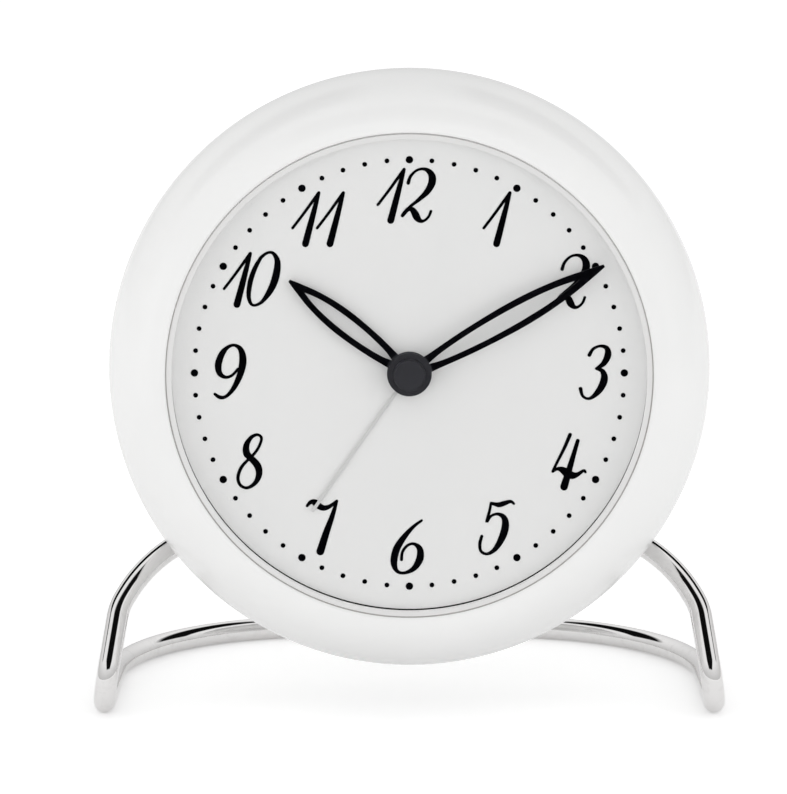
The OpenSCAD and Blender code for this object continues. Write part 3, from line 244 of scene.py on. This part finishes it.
# Polished, plated or stamped metal.
def metalMaterial(name, look):
    made, tree, shader, place = newMaterial(name, Metallic=1.0)
    marks = addNode(tree, "ShaderNodeGroup",
                    {"node_tree": scratchGroup, "Scale": look["scale"], "Stretch": look["stretch"],
                     "Depth": look["depth"]}, {"Place": place})
    colour = mixColour(tree, marks.outputs["Marks"], look["tone"], look["secondTone"])
    gloss = ramp(tree, marks.outputs["Marks"], 0.0, 1.0, *look["gloss"])
    feedShader(tree, shader, colour, gloss, marks.outputs["Normal"])
    return made


skinLooks = {
    "white_plastic": {"tone": (0.86, 0.86, 0.855), "secondTone": (0.88, 0.88, 0.875), "mottleScale": 35.0,
                      "grainScale": 900.0, "depth": 0.05, "gloss": (0.16, 0.24), "dust": 0.05},
    "dial_paint": {"tone": (0.83, 0.83, 0.825), "secondTone": (0.84, 0.84, 0.835), "mottleScale": 30.0,
                   "grainScale": 2500.0, "depth": 0.08, "gloss": (0.5, 0.62)},
    "ink": {"tone": (0.001, 0.001, 0.0015), "secondTone": (0.002, 0.002, 0.003), "mottleScale": 200.0,
            "grainScale": 3000.0, "depth": 0.1, "gloss": (0.45, 0.6), "plain": {"Specular_IOR_Level": 0.0}},
    "black_plastic": {"tone": (0.006, 0.006, 0.006), "secondTone": (0.012, 0.012, 0.012),
                      "mottleScale": 120.0, "grainScale": 2500.0, "depth": 0.2, "gloss": (0.45, 0.6),
                      "dust": 0.03},
    "alarm_metal": {"tone": (0.6, 0.6, 0.595), "secondTone": (0.63, 0.63, 0.625), "mottleScale": 200.0,
                    "grainScale": 2500.0, "depth": 0.06, "gloss": (0.3, 0.4)},
    "grey_plastic": {"tone": (0.1, 0.1, 0.105), "secondTone": (0.13, 0.13, 0.135), "mottleScale": 90.0,
                     "grainScale": 1800.0, "depth": 0.3, "gloss": (0.45, 0.6), "dust": 0.06},
    "bobbin_plastic": {"tone": (0.6, 0.56, 0.45), "secondTone": (0.66, 0.62, 0.52), "mottleScale": 150.0,
                       "grainScale": 2000.0, "depth": 0.15, "gloss": (0.4, 0.5)},
    "board": {"tone": (0.02, 0.16, 0.07), "secondTone": (0.03, 0.2, 0.09), "mottleScale": 400.0,
              "grainScale": 2500.0, "depth": 0.25, "gloss": (0.25, 0.4)},
    "cell_wrap": {"tone": (0.42, 0.28, 0.06), "secondTone": (0.5, 0.34, 0.09), "mottleScale": 60.0,
                  "grainScale": 2000.0, "depth": 0.05, "gloss": (0.2, 0.28)},
    "lead_cover": {"tone": (0.4, 0.02, 0.02), "secondTone": (0.46, 0.03, 0.03), "mottleScale": 200.0,
                   "grainScale": 2500.0, "depth": 0.1, "gloss": (0.35, 0.45)},
}
metalLooks = {
    "chrome": {"tone": (0.80, 0.79, 0.785), "secondTone": (0.74, 0.73, 0.725), "scale": 500.0,
               "stretch": (1.0, 1.0, 1.0), "depth": 0.02, "gloss": (0.035, 0.09)},
    "steel": {"tone": (0.55, 0.55, 0.55), "secondTone": (0.45, 0.45, 0.45), "scale": 900.0,
              "stretch": (1.0, 1.0, 0.2), "depth": 0.08, "gloss": (0.2, 0.35)},
    "wheel_brass": {"tone": (0.65, 0.46, 0.18), "secondTone": (0.55, 0.38, 0.14), "scale": 900.0,
                    "stretch": (1.0, 0.1, 1.0), "depth": 0.08, "gloss": (0.22, 0.36)},
    "copper": {"tone": (0.6, 0.24, 0.1), "secondTone": (0.5, 0.18, 0.07), "scale": 600.0,
               "stretch": (0.1, 1.0, 1.0), "depth": 0.3, "gloss": (0.25, 0.4)},
}


# Near-black lacquer on the hands; the discs over the arbor are a softer dark grey. The edge between them
# is measured in metres from the centre, and the gloss goes from the disc's to the lacquer's.
handLook = {
    "centre": dialFrame @ Vector((0, 0, 2)), "discEdge": (0.00425, 0.0044), "disc": (0.036, 0.036, 0.041),
    "lacquer": (0.001, 0.001, 0.002), "mottle": (0.001, 0.001, 0.0015), "gloss": (0.32, 0.34),
    "sheen": 0.05, "grainScale": 2500.0, "depth": 0.08,
}


def handMaterial():
    h = handLook
    made, tree, shader, place = newMaterial("handLacquer", Specular_IOR_Level=h["sheen"])
    skin = addNode(tree, "ShaderNodeGroup",
                   {"node_tree": skinGroup, "Grain Scale": h["grainScale"], "Depth": h["depth"]},
                   {"Place": place})
    away = addNode(tree, "ShaderNodeVectorMath", {"operation": "DISTANCE"})
    tree.links.new(place, away.inputs[0])
    away.inputs[1].default_value = h["centre"]
    blade = ramp(tree, away.outputs["Value"], *h["discEdge"])
    even = mixColour(tree, blade, h["disc"], h["lacquer"])
    colour = mixColour(tree, skin.outputs["Mottle"], even, h["mottle"], "ADD")
    feedShader(tree, shader, colour, ramp(tree, blade, 0.0, 1.0, *h["gloss"]), skin.outputs["Normal"])
    return made


# Distance from the dial's axis and height over its face, in millimetres.
def dialRadius(tree):
    place = addNode(tree, "ShaderNodeTexCoord").outputs["Object"]
    along = []
    for row in dialFrame.inverted()[:3]:
        part = addNode(tree, "ShaderNodeVectorMath", {"operation": "DOT_PRODUCT"})
        tree.links.new(place, part.inputs[0])
        part.inputs[1].default_value = row.xyz
        along.append(combine(tree, "ADD", part.outputs["Value"], row.w))
    flat = addNode(tree, "ShaderNodeCombineXYZ", links={"X": along[0], "Y": along[1]})
    radius = addNode(tree, "ShaderNodeVectorMath", {"operation": "LENGTH"})
    tree.links.new(flat.outputs["Vector"], radius.inputs[0])
    return radius.outputs["Value"], along[2]


# The lens is clear inside its matt white edge, which starts at this distance from the dial's axis.
lensLook = {
    "index": 1.45, "clear": (1, 1, 1), "marked": (0.985, 0.99, 0.99), "markScale": 90.0,
    "edge": 43.6, "edgeTone": (0.74, 0.735, 0.73), "edgeGloss": 0.35,
}


def lensMaterial():
    look = lensLook
    made, tree, shader, place = newMaterial(
        "clearLens", Roughness=0.0, IOR=look["index"], Transmission_Weight=1.0,
        Base_Color=(*look["clear"], 1)
    )
    marks = addNode(tree, "ShaderNodeGroup", {"node_tree": scratchGroup, "Scale": look["markScale"]},
                    {"Place": place})
    tint = mixColour(tree, marks.outputs["Marks"], look["clear"], look["marked"])
    tree.links.new(tint, shader.inputs["Base Color"])
    matt = addNode(tree, "ShaderNodeBsdfPrincipled",
                   {"Base Color": (*look["edgeTone"], 1), "Roughness": look["edgeGloss"]})
    edge = combine(tree, "GREATER_THAN", dialRadius(tree)[0], look["edge"])
    body = mixShaders(tree, edge, shader.outputs["BSDF"], matt.outputs["BSDF"])
    # light passes straight through on its way to the dial
    rays = addNode(tree, "ShaderNodeLightPath").outputs
    passing = combine(tree, "MAXIMUM", rays["Is Shadow Ray"], rays["Is Diffuse Ray"])
    through = addNode(tree, "ShaderNodeBsdfTransparent", {"Color": (1, 1, 1, 1)})
    surface = mixShaders(tree, passing, body, through.outputs["BSDF"])
    tree.links.new(surface, tree.nodes["Material Output"].inputs["Surface"])
    return made


# Painted shade on the ring: a near-black band on its foot's wall and a grey band in the gap round the lens,
# both standing in for the shade in these gaps. Each band gives its middle radius, half its width and its top
# over the dial, in dial millimetres.
ringLook = {
    "sheen": 0.5,
    "paintedShadeBands": [
        {"middle": 43.47, "half": 0.12, "top": 2.35, "tone": (0.002, 0.0015, 0.001)},
        {"middle": 44.65, "half": 0.13, "top": 4.05, "tone": (0.42, 0.41, 0.4)},
    ],
}


def ringMaterial():
    made = skinMaterial("ringSkin", skinLooks["white_plastic"])
    tree = made.node_tree
    shader = tree.nodes["Principled BSDF"]
    radius, height = dialRadius(tree)
    colour = shader.inputs["Base Color"].links[0].from_socket
    # the painted shade shows only to rays that are not diffuse, so the light that the bands send on to the
    # dial is white, as from the rest of the ring
    rays = addNode(tree, "ShaderNodeLightPath").outputs
    seen = combine(tree, "SUBTRACT", 1.0, rays["Is Diffuse Ray"])
    unshaded = 1.0
    for band in ringLook["paintedShadeBands"]:
        # each band paints shade: the ring's colour goes to the band's tone and its specular goes, so the
        # band stays dark
        away = combine(tree, "ABSOLUTE", combine(tree, "SUBTRACT", radius, band["middle"]), 0.0)
        inside = combine(tree, "MULTIPLY", combine(tree, "LESS_THAN", away, band["half"]),
                         combine(tree, "LESS_THAN", height, band["top"]))
        cover = combine(tree, "MULTIPLY", inside, seen)
        colour = mixColour(tree, cover, colour, band["tone"])
        unshaded = combine(tree, "SUBTRACT", unshaded, cover)
    tree.links.new(colour, shader.inputs["Base Color"])
    sheen = combine(tree, "MULTIPLY", unshaded, ringLook["sheen"])
    tree.links.new(sheen, shader.inputs["Specular IOR Level"])
    return made


materials = {name: skinMaterial(name, look) for name, look in skinLooks.items()}
materials.update({name: metalMaterial(name, look) for name, look in metalLooks.items()})
materials["lens"] = lensMaterial()
materials["hand_paint"] = handMaterial()
materials["ringSkin"] = ringMaterial()
print("materials made:", len(materials))

for name, node in nodes.items():
    node.data.materials.clear()
    node.data.materials.append(materials[slotOf[name]])
print("parts dressed:", len(nodes))

seamGap = 0.0005  # millimetres within which two points of a drawn piece are one


def finishPiece(bm, name, place, node, smoothAngle, skin=None):
    bmesh.ops.remove_doubles(bm, verts=bm.verts, dist=seamGap)
    bmesh.ops.recalc_face_normals(bm, faces=bm.faces)
    mesh = bpy.data.meshes.new(name)
    bm.to_mesh(mesh)
    bm.free()
    mesh.transform(place)
    mesh.shade_smooth()
    mesh.set_sharp_from_angle(angle=math.radians(smoothAngle))
    piece = bpy.data.objects.new(name, mesh)
    scene.collection.objects.link(piece)
    mesh.materials.append(materials[skin or slotOf[node]])
    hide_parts(node)
    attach(piece, "case")
    print("piece made:", name, len(mesh.polygons), "faces")
    return piece


# A wire outline in the plane y = 0 from points (r, z) and arcs (centre, radii, start, end, steps).
def drawOutline(bm, parts, closed=True):
    first = last = None
    for part in parts:
        before = len(bm.verts)
        if len(part) == 2:
            bmesh.ops.create_vert(bm, co=(part[0], 0, part[1]))
        else:
            centre, radii, start, end, steps = part
            angle = math.radians(start)
            point = bmesh.ops.create_vert(bm, co=(math.cos(angle), 0, math.sin(angle)))["vert"]
            bmesh.ops.spin(bm, geom=point, cent=(0, 0, 0), axis=(0, -1, 0),
                           angle=math.radians(end - start), steps=steps)
            arc = list(bm.verts)[before:]
            bmesh.ops.scale(bm, verts=arc, vec=(radii[0], 1, radii[1]))
            bmesh.ops.translate(bm, verts=arc, vec=(centre[0], 0, centre[1]))
        bm.verts.ensure_lookup_table()
        start = bm.verts[before]
        if last:
            bm.edges.new((last, start))
        first, last = first or start, bm.verts[len(bm.verts) - 1]
    if closed:
        bm.edges.new((last, first))


def turnOutline(bm, steps):
    bmesh.ops.remove_doubles(bm, verts=bm.verts, dist=seamGap)
    bmesh.ops.spin(bm, geom=bm.verts[:] + bm.edges[:], cent=(0, 0, 0), axis=(0, 0, 1),
                   angle=math.tau, steps=steps, use_merge=True)


# White front ring: a rolled tube open at the back, with a fine lip, a step for the lens and a foot on the
# dial. Radii and heights are the dial's, in millimetres, and an arc gives its two angles and its steps.
frontRing = {
    "outer": 55, "crown": 45.4, "lip": 0.75, "rise": 4.4, "widest": -9.4, "wall": 2.2,
    "frontRadii": (9.6, 13.8), "rearCentre": 50.8, "rearRadii": (4.2, 7.1), "back": -16.5,
    "flange": {"outer": 49.5, "inner": 48.5, "height": -14.5},
    "foot": {"inner": 43.47, "outer": 45.7, "height": 1.6}, "skirt": {"outer": 43.57, "height": 0.05},
    "ledge": 2.4, "rebate": 44.65,
    "lipArc": (180, 90, 8), "frontArc": (88, 0, 44), "rearArc": (-4, -90, 18),
    "flangeArc": (-80, 0, 8), "hollowArc": (8, 86, 14), "steps": 240, "smooth": 30,
}


def makeFrontRing():
    r = frontRing
    wall, widest, flange, foot, skirt = r["wall"], r["widest"], r["flange"], r["foot"], r["skirt"]
    hollow = (r["frontRadii"][0] - wall, r["frontRadii"][1] - wall)
    behind = (r["outer"] - wall - flange["inner"], widest - flange["height"])
    bm = bmesh.new()
    drawOutline(bm, [
        (foot["inner"], skirt["height"]), (foot["inner"], r["ledge"]), (r["rebate"], r["ledge"]),
        ((r["crown"], r["rise"] - r["lip"]), (r["lip"], r["lip"]), *r["lipArc"]),
        ((r["crown"], widest), r["frontRadii"], *r["frontArc"]),
        ((r["rearCentre"], widest), r["rearRadii"], *r["rearArc"]),
        (flange["outer"], r["back"]), (flange["outer"], flange["height"]),
        (flange["inner"], flange["height"]),
        ((flange["inner"], widest), behind, *r["flangeArc"]),
        ((r["crown"], widest), hollow, *r["hollowArc"]),
        (foot["outer"], foot["height"]), (skirt["outer"], foot["height"]),
        (skirt["outer"], skirt["height"]),
    ])
    turnOutline(bm, r["steps"])
    return finishPiece(bm, "ringShell", dialFrame, "front_ring", r["smooth"], "ringSkin")


# Domed lens: two shallow spheres with a straight rim.
lensDome = {
    "radius": 44.5, "rimInner": 43.58, "top": 7.5, "bulge": 3.4, "thickness": 1.5, "low": 2.4,
    "arcSteps": 24, "steps": 192, "smooth": 30,
}


def makeLens():
    d = lensDome
    sphere = (d["radius"] ** 2 + d["bulge"] ** 2) / (2 * d["bulge"])
    centre = d["top"] - sphere
    outerEdge = 90 - math.degrees(math.asin(d["radius"] / sphere))
    innerEdge = 90 - math.degrees(math.asin(d["rimInner"] / sphere))
    bm = bmesh.new()
    drawOutline(bm, [
        ((0, centre), (sphere, sphere), 90, outerEdge, d["arcSteps"]),
        (d["radius"], d["low"]), (d["rimInner"], d["low"]),
        ((0, centre - d["thickness"]), (sphere, sphere), innerEdge, 90, d["arcSteps"]),
    ], closed=False)
    turnOutline(bm, d["steps"])
    return finishPiece(bm, "lensDome", dialFrame, "lens", d["smooth"])


# Bent wire stand, with lengths in millimetres and angles in degrees. Each leg leans back and in, bends in
# at its knee and its shoulder, and ends in a socket in the drum; on the table a bow joins the two rails.
wireStand = {
    "radius": 2.0, "width": 113, "length": 70.1, "slope": 37, "lean": 8.8, "leg": 21.5, "kneeTurn": 19.6,
    "kneeStraight": 0.6, "shoulderTurn": 27.6, "railIn": 4.4, "bowSweep": 17.1, "drum": 41, "socket": 5,
    "bends": {"shoulder": 28, "knee": 12.2, "foot": 5, "corner": 38, "bow": 88},
    "sides": 48, "bendStep": 3, "fewestSteps": 4, "smooth": 40,
}


def standPoints():
    s, bends = wireStand, wireStand["bends"]
    slope, lean, kneeTurn, shoulderTurn, railIn, sweep = (
        math.radians(s[key]) for key in ("slope", "lean", "kneeTurn", "shoulderTurn", "railIn", "bowSweep")
    )

    def inLeg(x, up):
        return Vector((x, up * math.sin(slope), s["radius"] + up * math.cos(slope)))

    kneeLean = lean + kneeTurn
    shoulderLean = kneeLean + shoulderTurn
    kneeReach = s["kneeStraight"] + bends["knee"] * math.tan(kneeTurn / 2)
    thigh = kneeReach + bends["shoulder"] * math.tan(shoulderTurn / 2)
    foot = inLeg(s["width"] / 2, 0)
    kneeX, kneeUp = foot.x - s["leg"] * math.sin(lean), s["leg"] * math.cos(lean)
    shoulder = inLeg(kneeX - thigh * math.sin(kneeLean), kneeUp + thigh * math.cos(kneeLean))
    way = inLeg(-math.sin(shoulderLean), math.cos(shoulderLean)) - inLeg(0, 0)
    # the straight end meets the drum, seen along the dial's axis, and goes on into its socket
    toDial = dialFrame.inverted() @ standFrame
    start, along = (toDial @ shoulder).xy, (toDial.to_3x3() @ way).xy
    across = start.dot(along)
    room = start.length_squared - s["drum"] ** 2
    reach = (-across - math.sqrt(across ** 2 - along.length_squared * room)) / along.length_squared
    bowY = s["length"] + bends["bow"] * (1 / math.cos(sweep) - 1)
    cornerX = (foot.x - math.tan(railIn) * bowY) / (1 - math.tan(railIn) * math.tan(sweep))
    return [
        shoulder + way * (reach + s["socket"]), shoulder, inLeg(kneeX, kneeUp), foot,
        Vector((cornerX, bowY - math.tan(sweep) * cornerX, s["radius"])), Vector((0, bowY, s["radius"])),
    ]


def makeStand():
    s = wireStand
    *right, bow = standPoints()
    points = [Vector((-p.x, p.y, p.z)) for p in right] + [bow] + right[::-1]
    bends = [s["bends"][key] for key in ("shoulder", "knee", "foot", "corner")]
    bends += [s["bends"]["bow"]] + bends[::-1]
    runs = [(b - a).normalized() for a, b in zip(points, points[1:])]
    turns = [before.angle(after) for before, after in zip(runs, runs[1:])]
    reaches = [0] + [radius * math.tan(turn / 2) for radius, turn in zip(bends, turns)] + [0]
    bm = bmesh.new()
    facing = Matrix.Translation(points[0]) @ runs[0].to_track_quat("Z", "Y").to_matrix().to_4x4()
    ring = bmesh.ops.create_circle(bm, cap_ends=True, segments=s["sides"], radius=s["radius"],
                                   matrix=facing)["verts"]
    loop = [e for e in bm.edges if all(v in ring for v in e.verts)]
    for i, run in enumerate(runs):
        length = (points[i + 1] - points[i]).length - reaches[i] - reaches[i + 1]
        made = bmesh.ops.extrude_edge_only(bm, edges=loop)["geom"]
        ends = [g for g in made if isinstance(g, bmesh.types.BMVert)]
        bmesh.ops.translate(bm, verts=ends, vec=run * length)
        loop = [g for g in made if isinstance(g, bmesh.types.BMEdge) and all(v in ends for v in g.verts)]
        if i < len(turns):
            axis = run.cross(runs[i + 1]).normalized()
            centre = points[i + 1] - run * reaches[i + 1] + axis.cross(run) * bends[i]
            steps = max(s["fewestSteps"], round(math.degrees(turns[i]) / s["bendStep"]))
            swept = bmesh.ops.spin(bm, geom=loop, cent=centre, axis=axis, angle=turns[i], steps=steps)
            loop = [g for g in swept["geom_last"] if isinstance(g, bmesh.types.BMEdge)]
    bmesh.ops.edgeloop_fill(bm, edges=loop)
    return finishPiece(bm, "standRod", standFrame, "stand_wire", s["smooth"])


# Small mouldings keep their shape and get a fine rounded edge of this width in millimetres. The hub cap
# is only smoothed.
edgeRounding = {
    "case_drum": 0.25, "rear_cover": 0.3, "battery_door": 0.3, "time_knob": 0.25, "alarm_knob": 0.25,
    "alarm_slide": 0.2, "snooze_button": 0.35, "hub_cap": 0.0, "hour_hand": 0.06, "minute_hand": 0.06,
    "alarm_hand": 0.04, "ring_screws": 0.1, "cover_screws": 0.1,
}
edgeFinish = {"seam": 0.002, "flatAngle": 0.5, "smoothAngle": 32, "bevelAngle": 40, "segments": 2}
overDial = ("hour_hand", "minute_hand", "alarm_hand", "hub_cap")


def roundEdges(nodeName, width):
    e = edgeFinish
    bm = bmesh.new()
    bm.from_mesh(nodes[nodeName].data)
    bmesh.ops.remove_doubles(bm, verts=bm.verts, dist=e["seam"] * mm)
    bmesh.ops.dissolve_limit(bm, angle_limit=math.radians(e["flatAngle"]), verts=bm.verts, edges=bm.edges)
    mesh = bpy.data.meshes.new(nodeName + "Finished")
    bm.to_mesh(mesh)
    bm.free()
    mesh.shade_smooth()
    mesh.set_sharp_from_angle(angle=math.radians(e["smoothAngle"]))
    piece = bpy.data.objects.new(nodeName + "Finished", mesh)
    scene.collection.objects.link(piece)
    if width:
        bevel = piece.modifiers.new("fineEdge", "BEVEL")
        bevel.width = width * mm
        bevel.segments = e["segments"]
        bevel.limit_method = "ANGLE"
        bevel.angle_limit = math.radians(e["bevelAngle"])
        bevel.harden_normals = True
    mesh.materials.append(materials[slotOf[nodeName]])
    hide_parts(nodeName)
    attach(piece, nodes[nodeName]["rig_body"])
    # the photograph's light is so even that nothing over the dial leaves a shadow on it
    piece.visible_shadow = nodeName not in overDial


makeFrontRing()
makeLens()
makeStand()
for nodeName, width in edgeRounding.items():
    roundEdges(nodeName, width)
print("edges rounded:", len(edgeRounding))


studio = {
    "floorSize": 4.0, "floorTone": 0.92, "floorSpread": 0.01, "floorGrain": 20.0, "floorRoughness": 0.9,
    "floorLift": 0.31, "glossyLift": 0.17, "ambient": 0.8,
    # each lamp's name, place, size and power
    "lamps": [
        ("leftSoftbox", (-0.65, -0.4, 0.07), 0.5, 1.5),
        ("rightSoftbox", (0.65, -0.4, 0.07), 0.5, 1.4),
        ("frontSoftbox", (0, -1.0, 0.2), 0.5, 0.5),
    ],
    "aim": (0, -0.03, 0.06),
    # the lens faces the dark end of the room, and the floor there is dark too
    "darkFront": (-0.03, -0.99, 0.0), "darkFrontEdge": (0.8, 0.88), "floorFront": (-0.09, -0.05),
    # polished metal also sees dark gaps between the lights overhead, given by x/z and y/z
    "highest": 0.96, "lowest": 0.62, "steepness": 0.6, "horizon": 0.05, "gapLevel": 0.004,
    "gaps": [
        {"side": (0.0, 0.0, 0.5, 0.62), "ahead": (-1.9, -1.6, -0.42, -0.3)},
        {"side": (0.18, 0.26, 1.5, 1.8), "ahead": (0.08, 0.16, 0.8, 1.0)},
    ],
}


def makeFloor():
    s = studio
    bm = bmesh.new()
    bmesh.ops.create_grid(bm, x_segments=2, y_segments=2, size=s["floorSize"])
    mesh = bpy.data.meshes.new("studioFloor")
    bm.to_mesh(mesh)
    bm.free()
    floor = bpy.data.objects.new("studioFloor", mesh)
    scene.collection.objects.link(floor)
    made, tree, shader, place = newMaterial(
        "paleFloor", Roughness=s["floorRoughness"], Emission_Color=(1, 1, 1, 1)
    )
    mottle = addNode(tree, "ShaderNodeTexNoise", {"Scale": s["floorGrain"]}, {"Vector": place})
    colour = mixColour(tree, mottle.outputs["Fac"], (s["floorTone"],) * 3,
                       (s["floorTone"] + s["floorSpread"],) * 3)
    tree.links.new(colour, shader.inputs["Base Color"])
    rays = addNode(tree, "ShaderNodeLightPath").outputs
    seen = combine(tree, "MAXIMUM", rays["Is Camera Ray"], rays["Is Transmission Ray"])
    lift = combine(tree, "ADD", combine(tree, "MULTIPLY", rays["Is Glossy Ray"], s["glossyLift"]),
                   combine(tree, "MULTIPLY", seen, s["floorLift"]))
    tree.links.new(lift, shader.inputs["Emission Strength"])
    # only the lens's sharp reflections see the dark floor in front
    where = addNode(tree, "ShaderNodeSeparateXYZ", links={"Vector": place})
    near = ramp(tree, where.outputs["Y"], *s["floorFront"], 1.0, 0.0)
    dark = combine(tree, "MULTIPLY", near, rays["Is Singular Ray"])
    black = addNode(tree, "ShaderNodeEmission", {"Color": (0, 0, 0, 1)})
    surface = mixShaders(tree, dark, shader.outputs["BSDF"], black.outputs["Emission"])
    tree.links.new(surface, tree.nodes["Material Output"].inputs["Surface"])
    mesh.materials.append(made)


def makeWorld():
    s = studio
    world = bpy.data.worlds.new("studioWorld")
    scene.world = world
    world.use_nodes = True
    tree = world.node_tree
    tree.nodes.clear()
    rays = addNode(tree, "ShaderNodeLightPath").outputs
    towards = addNode(tree, "ShaderNodeTexCoord").outputs["Generated"]
    facing = addNode(tree, "ShaderNodeVectorMath", {"operation": "DOT_PRODUCT"})
    tree.links.new(towards, facing.inputs[0])
    facing.inputs[1].default_value = Vector(s["darkFront"]).normalized()
    dark = combine(tree, "MULTIPLY", ramp(tree, facing.outputs["Value"], *s["darkFrontEdge"]),
                   rays["Is Singular Ray"])
    split = addNode(tree, "ShaderNodeSeparateXYZ", links={"Vector": towards}).outputs
    height = combine(tree, "MAXIMUM", split["Z"], s["horizon"])
    side = combine(tree, "DIVIDE", combine(tree, "ABSOLUTE", split["X"], 0.0), height)
    ahead = combine(tree, "DIVIDE", split["Y"], height)
    for gap in s["gaps"]:
        shape = combine(tree, "MULTIPLY", window(tree, side, gap["side"]), window(tree, ahead, gap["ahead"]))
        dark = combine(tree, "MAXIMUM", dark, shape)
    sky = ramp(tree, split["Z"], 0.0, s["steepness"], s["lowest"], s["highest"])
    shade = combine(tree, "MULTIPLY", sky, ramp(tree, dark, 0.0, 1.0, 1.0, s["gapLevel"]))
    reflected = addNode(tree, "ShaderNodeBackground", links={"Color": shade})
    ambient = addNode(tree, "ShaderNodeBackground", {"Color": (1, 1, 1, 1), "Strength": s["ambient"]})
    white = addNode(tree, "ShaderNodeBackground", {"Color": (1, 1, 1, 1), "Strength": 1.0})
    mirrored = combine(tree, "MAXIMUM", rays["Is Glossy Ray"], rays["Is Singular Ray"])
    unseen = mixShaders(tree, mirrored, ambient.outputs["Background"], reflected.outputs["Background"])
    surface = mixShaders(tree, rays["Is Camera Ray"], unseen, white.outputs["Background"])
    output = addNode(tree, "ShaderNodeOutputWorld")
    tree.links.new(surface, output.inputs["Surface"])


def makeLamps():
    for name, place, size, power in studio["lamps"]:
        lamp = bpy.data.lights.new(name, "AREA")
        lamp.shape = "SQUARE"
        lamp.size = size
        lamp.energy = power
        holder = bpy.data.objects.new(name, lamp)
        holder.location = place
        towards = Vector(studio["aim"]) - Vector(place)
        holder.rotation_euler = towards.to_track_quat("-Z", "Y").to_euler()
        holder.visible_glossy = holder.visible_transmission = False
        scene.collection.objects.link(holder)


photoCamera = {
    "elevation": 13.7, "scale": 0.1454, "shiftRight": -0.00291, "shiftUp": -0.00447, "distance": 0.8,
    "reach": 20,
}


def makeCamera():
    c = photoCamera
    tilt = math.radians(c["elevation"])
    view = Vector((0, math.cos(tilt), -math.sin(tilt)))
    up = Vector((0, math.sin(tilt), math.cos(tilt)))
    centre = dialFrame.translation + Vector((c["shiftRight"], 0, 0)) + up * c["shiftUp"]
    data = bpy.data.cameras.new("photoCamera")
    data.type = "ORTHO"
    data.ortho_scale = c["scale"]
    data.clip_end = c["reach"]
    holder = bpy.data.objects.new("photoCamera", data)
    holder.location = centre - view * c["distance"]
    holder.rotation_euler = (math.radians(90) - tilt, 0, 0)
    scene.collection.objects.link(holder)
    scene.camera = holder


makeFloor()
makeWorld()
makeLamps()
makeCamera()
scene.view_settings.view_transform = "Standard"
print("studio ready")
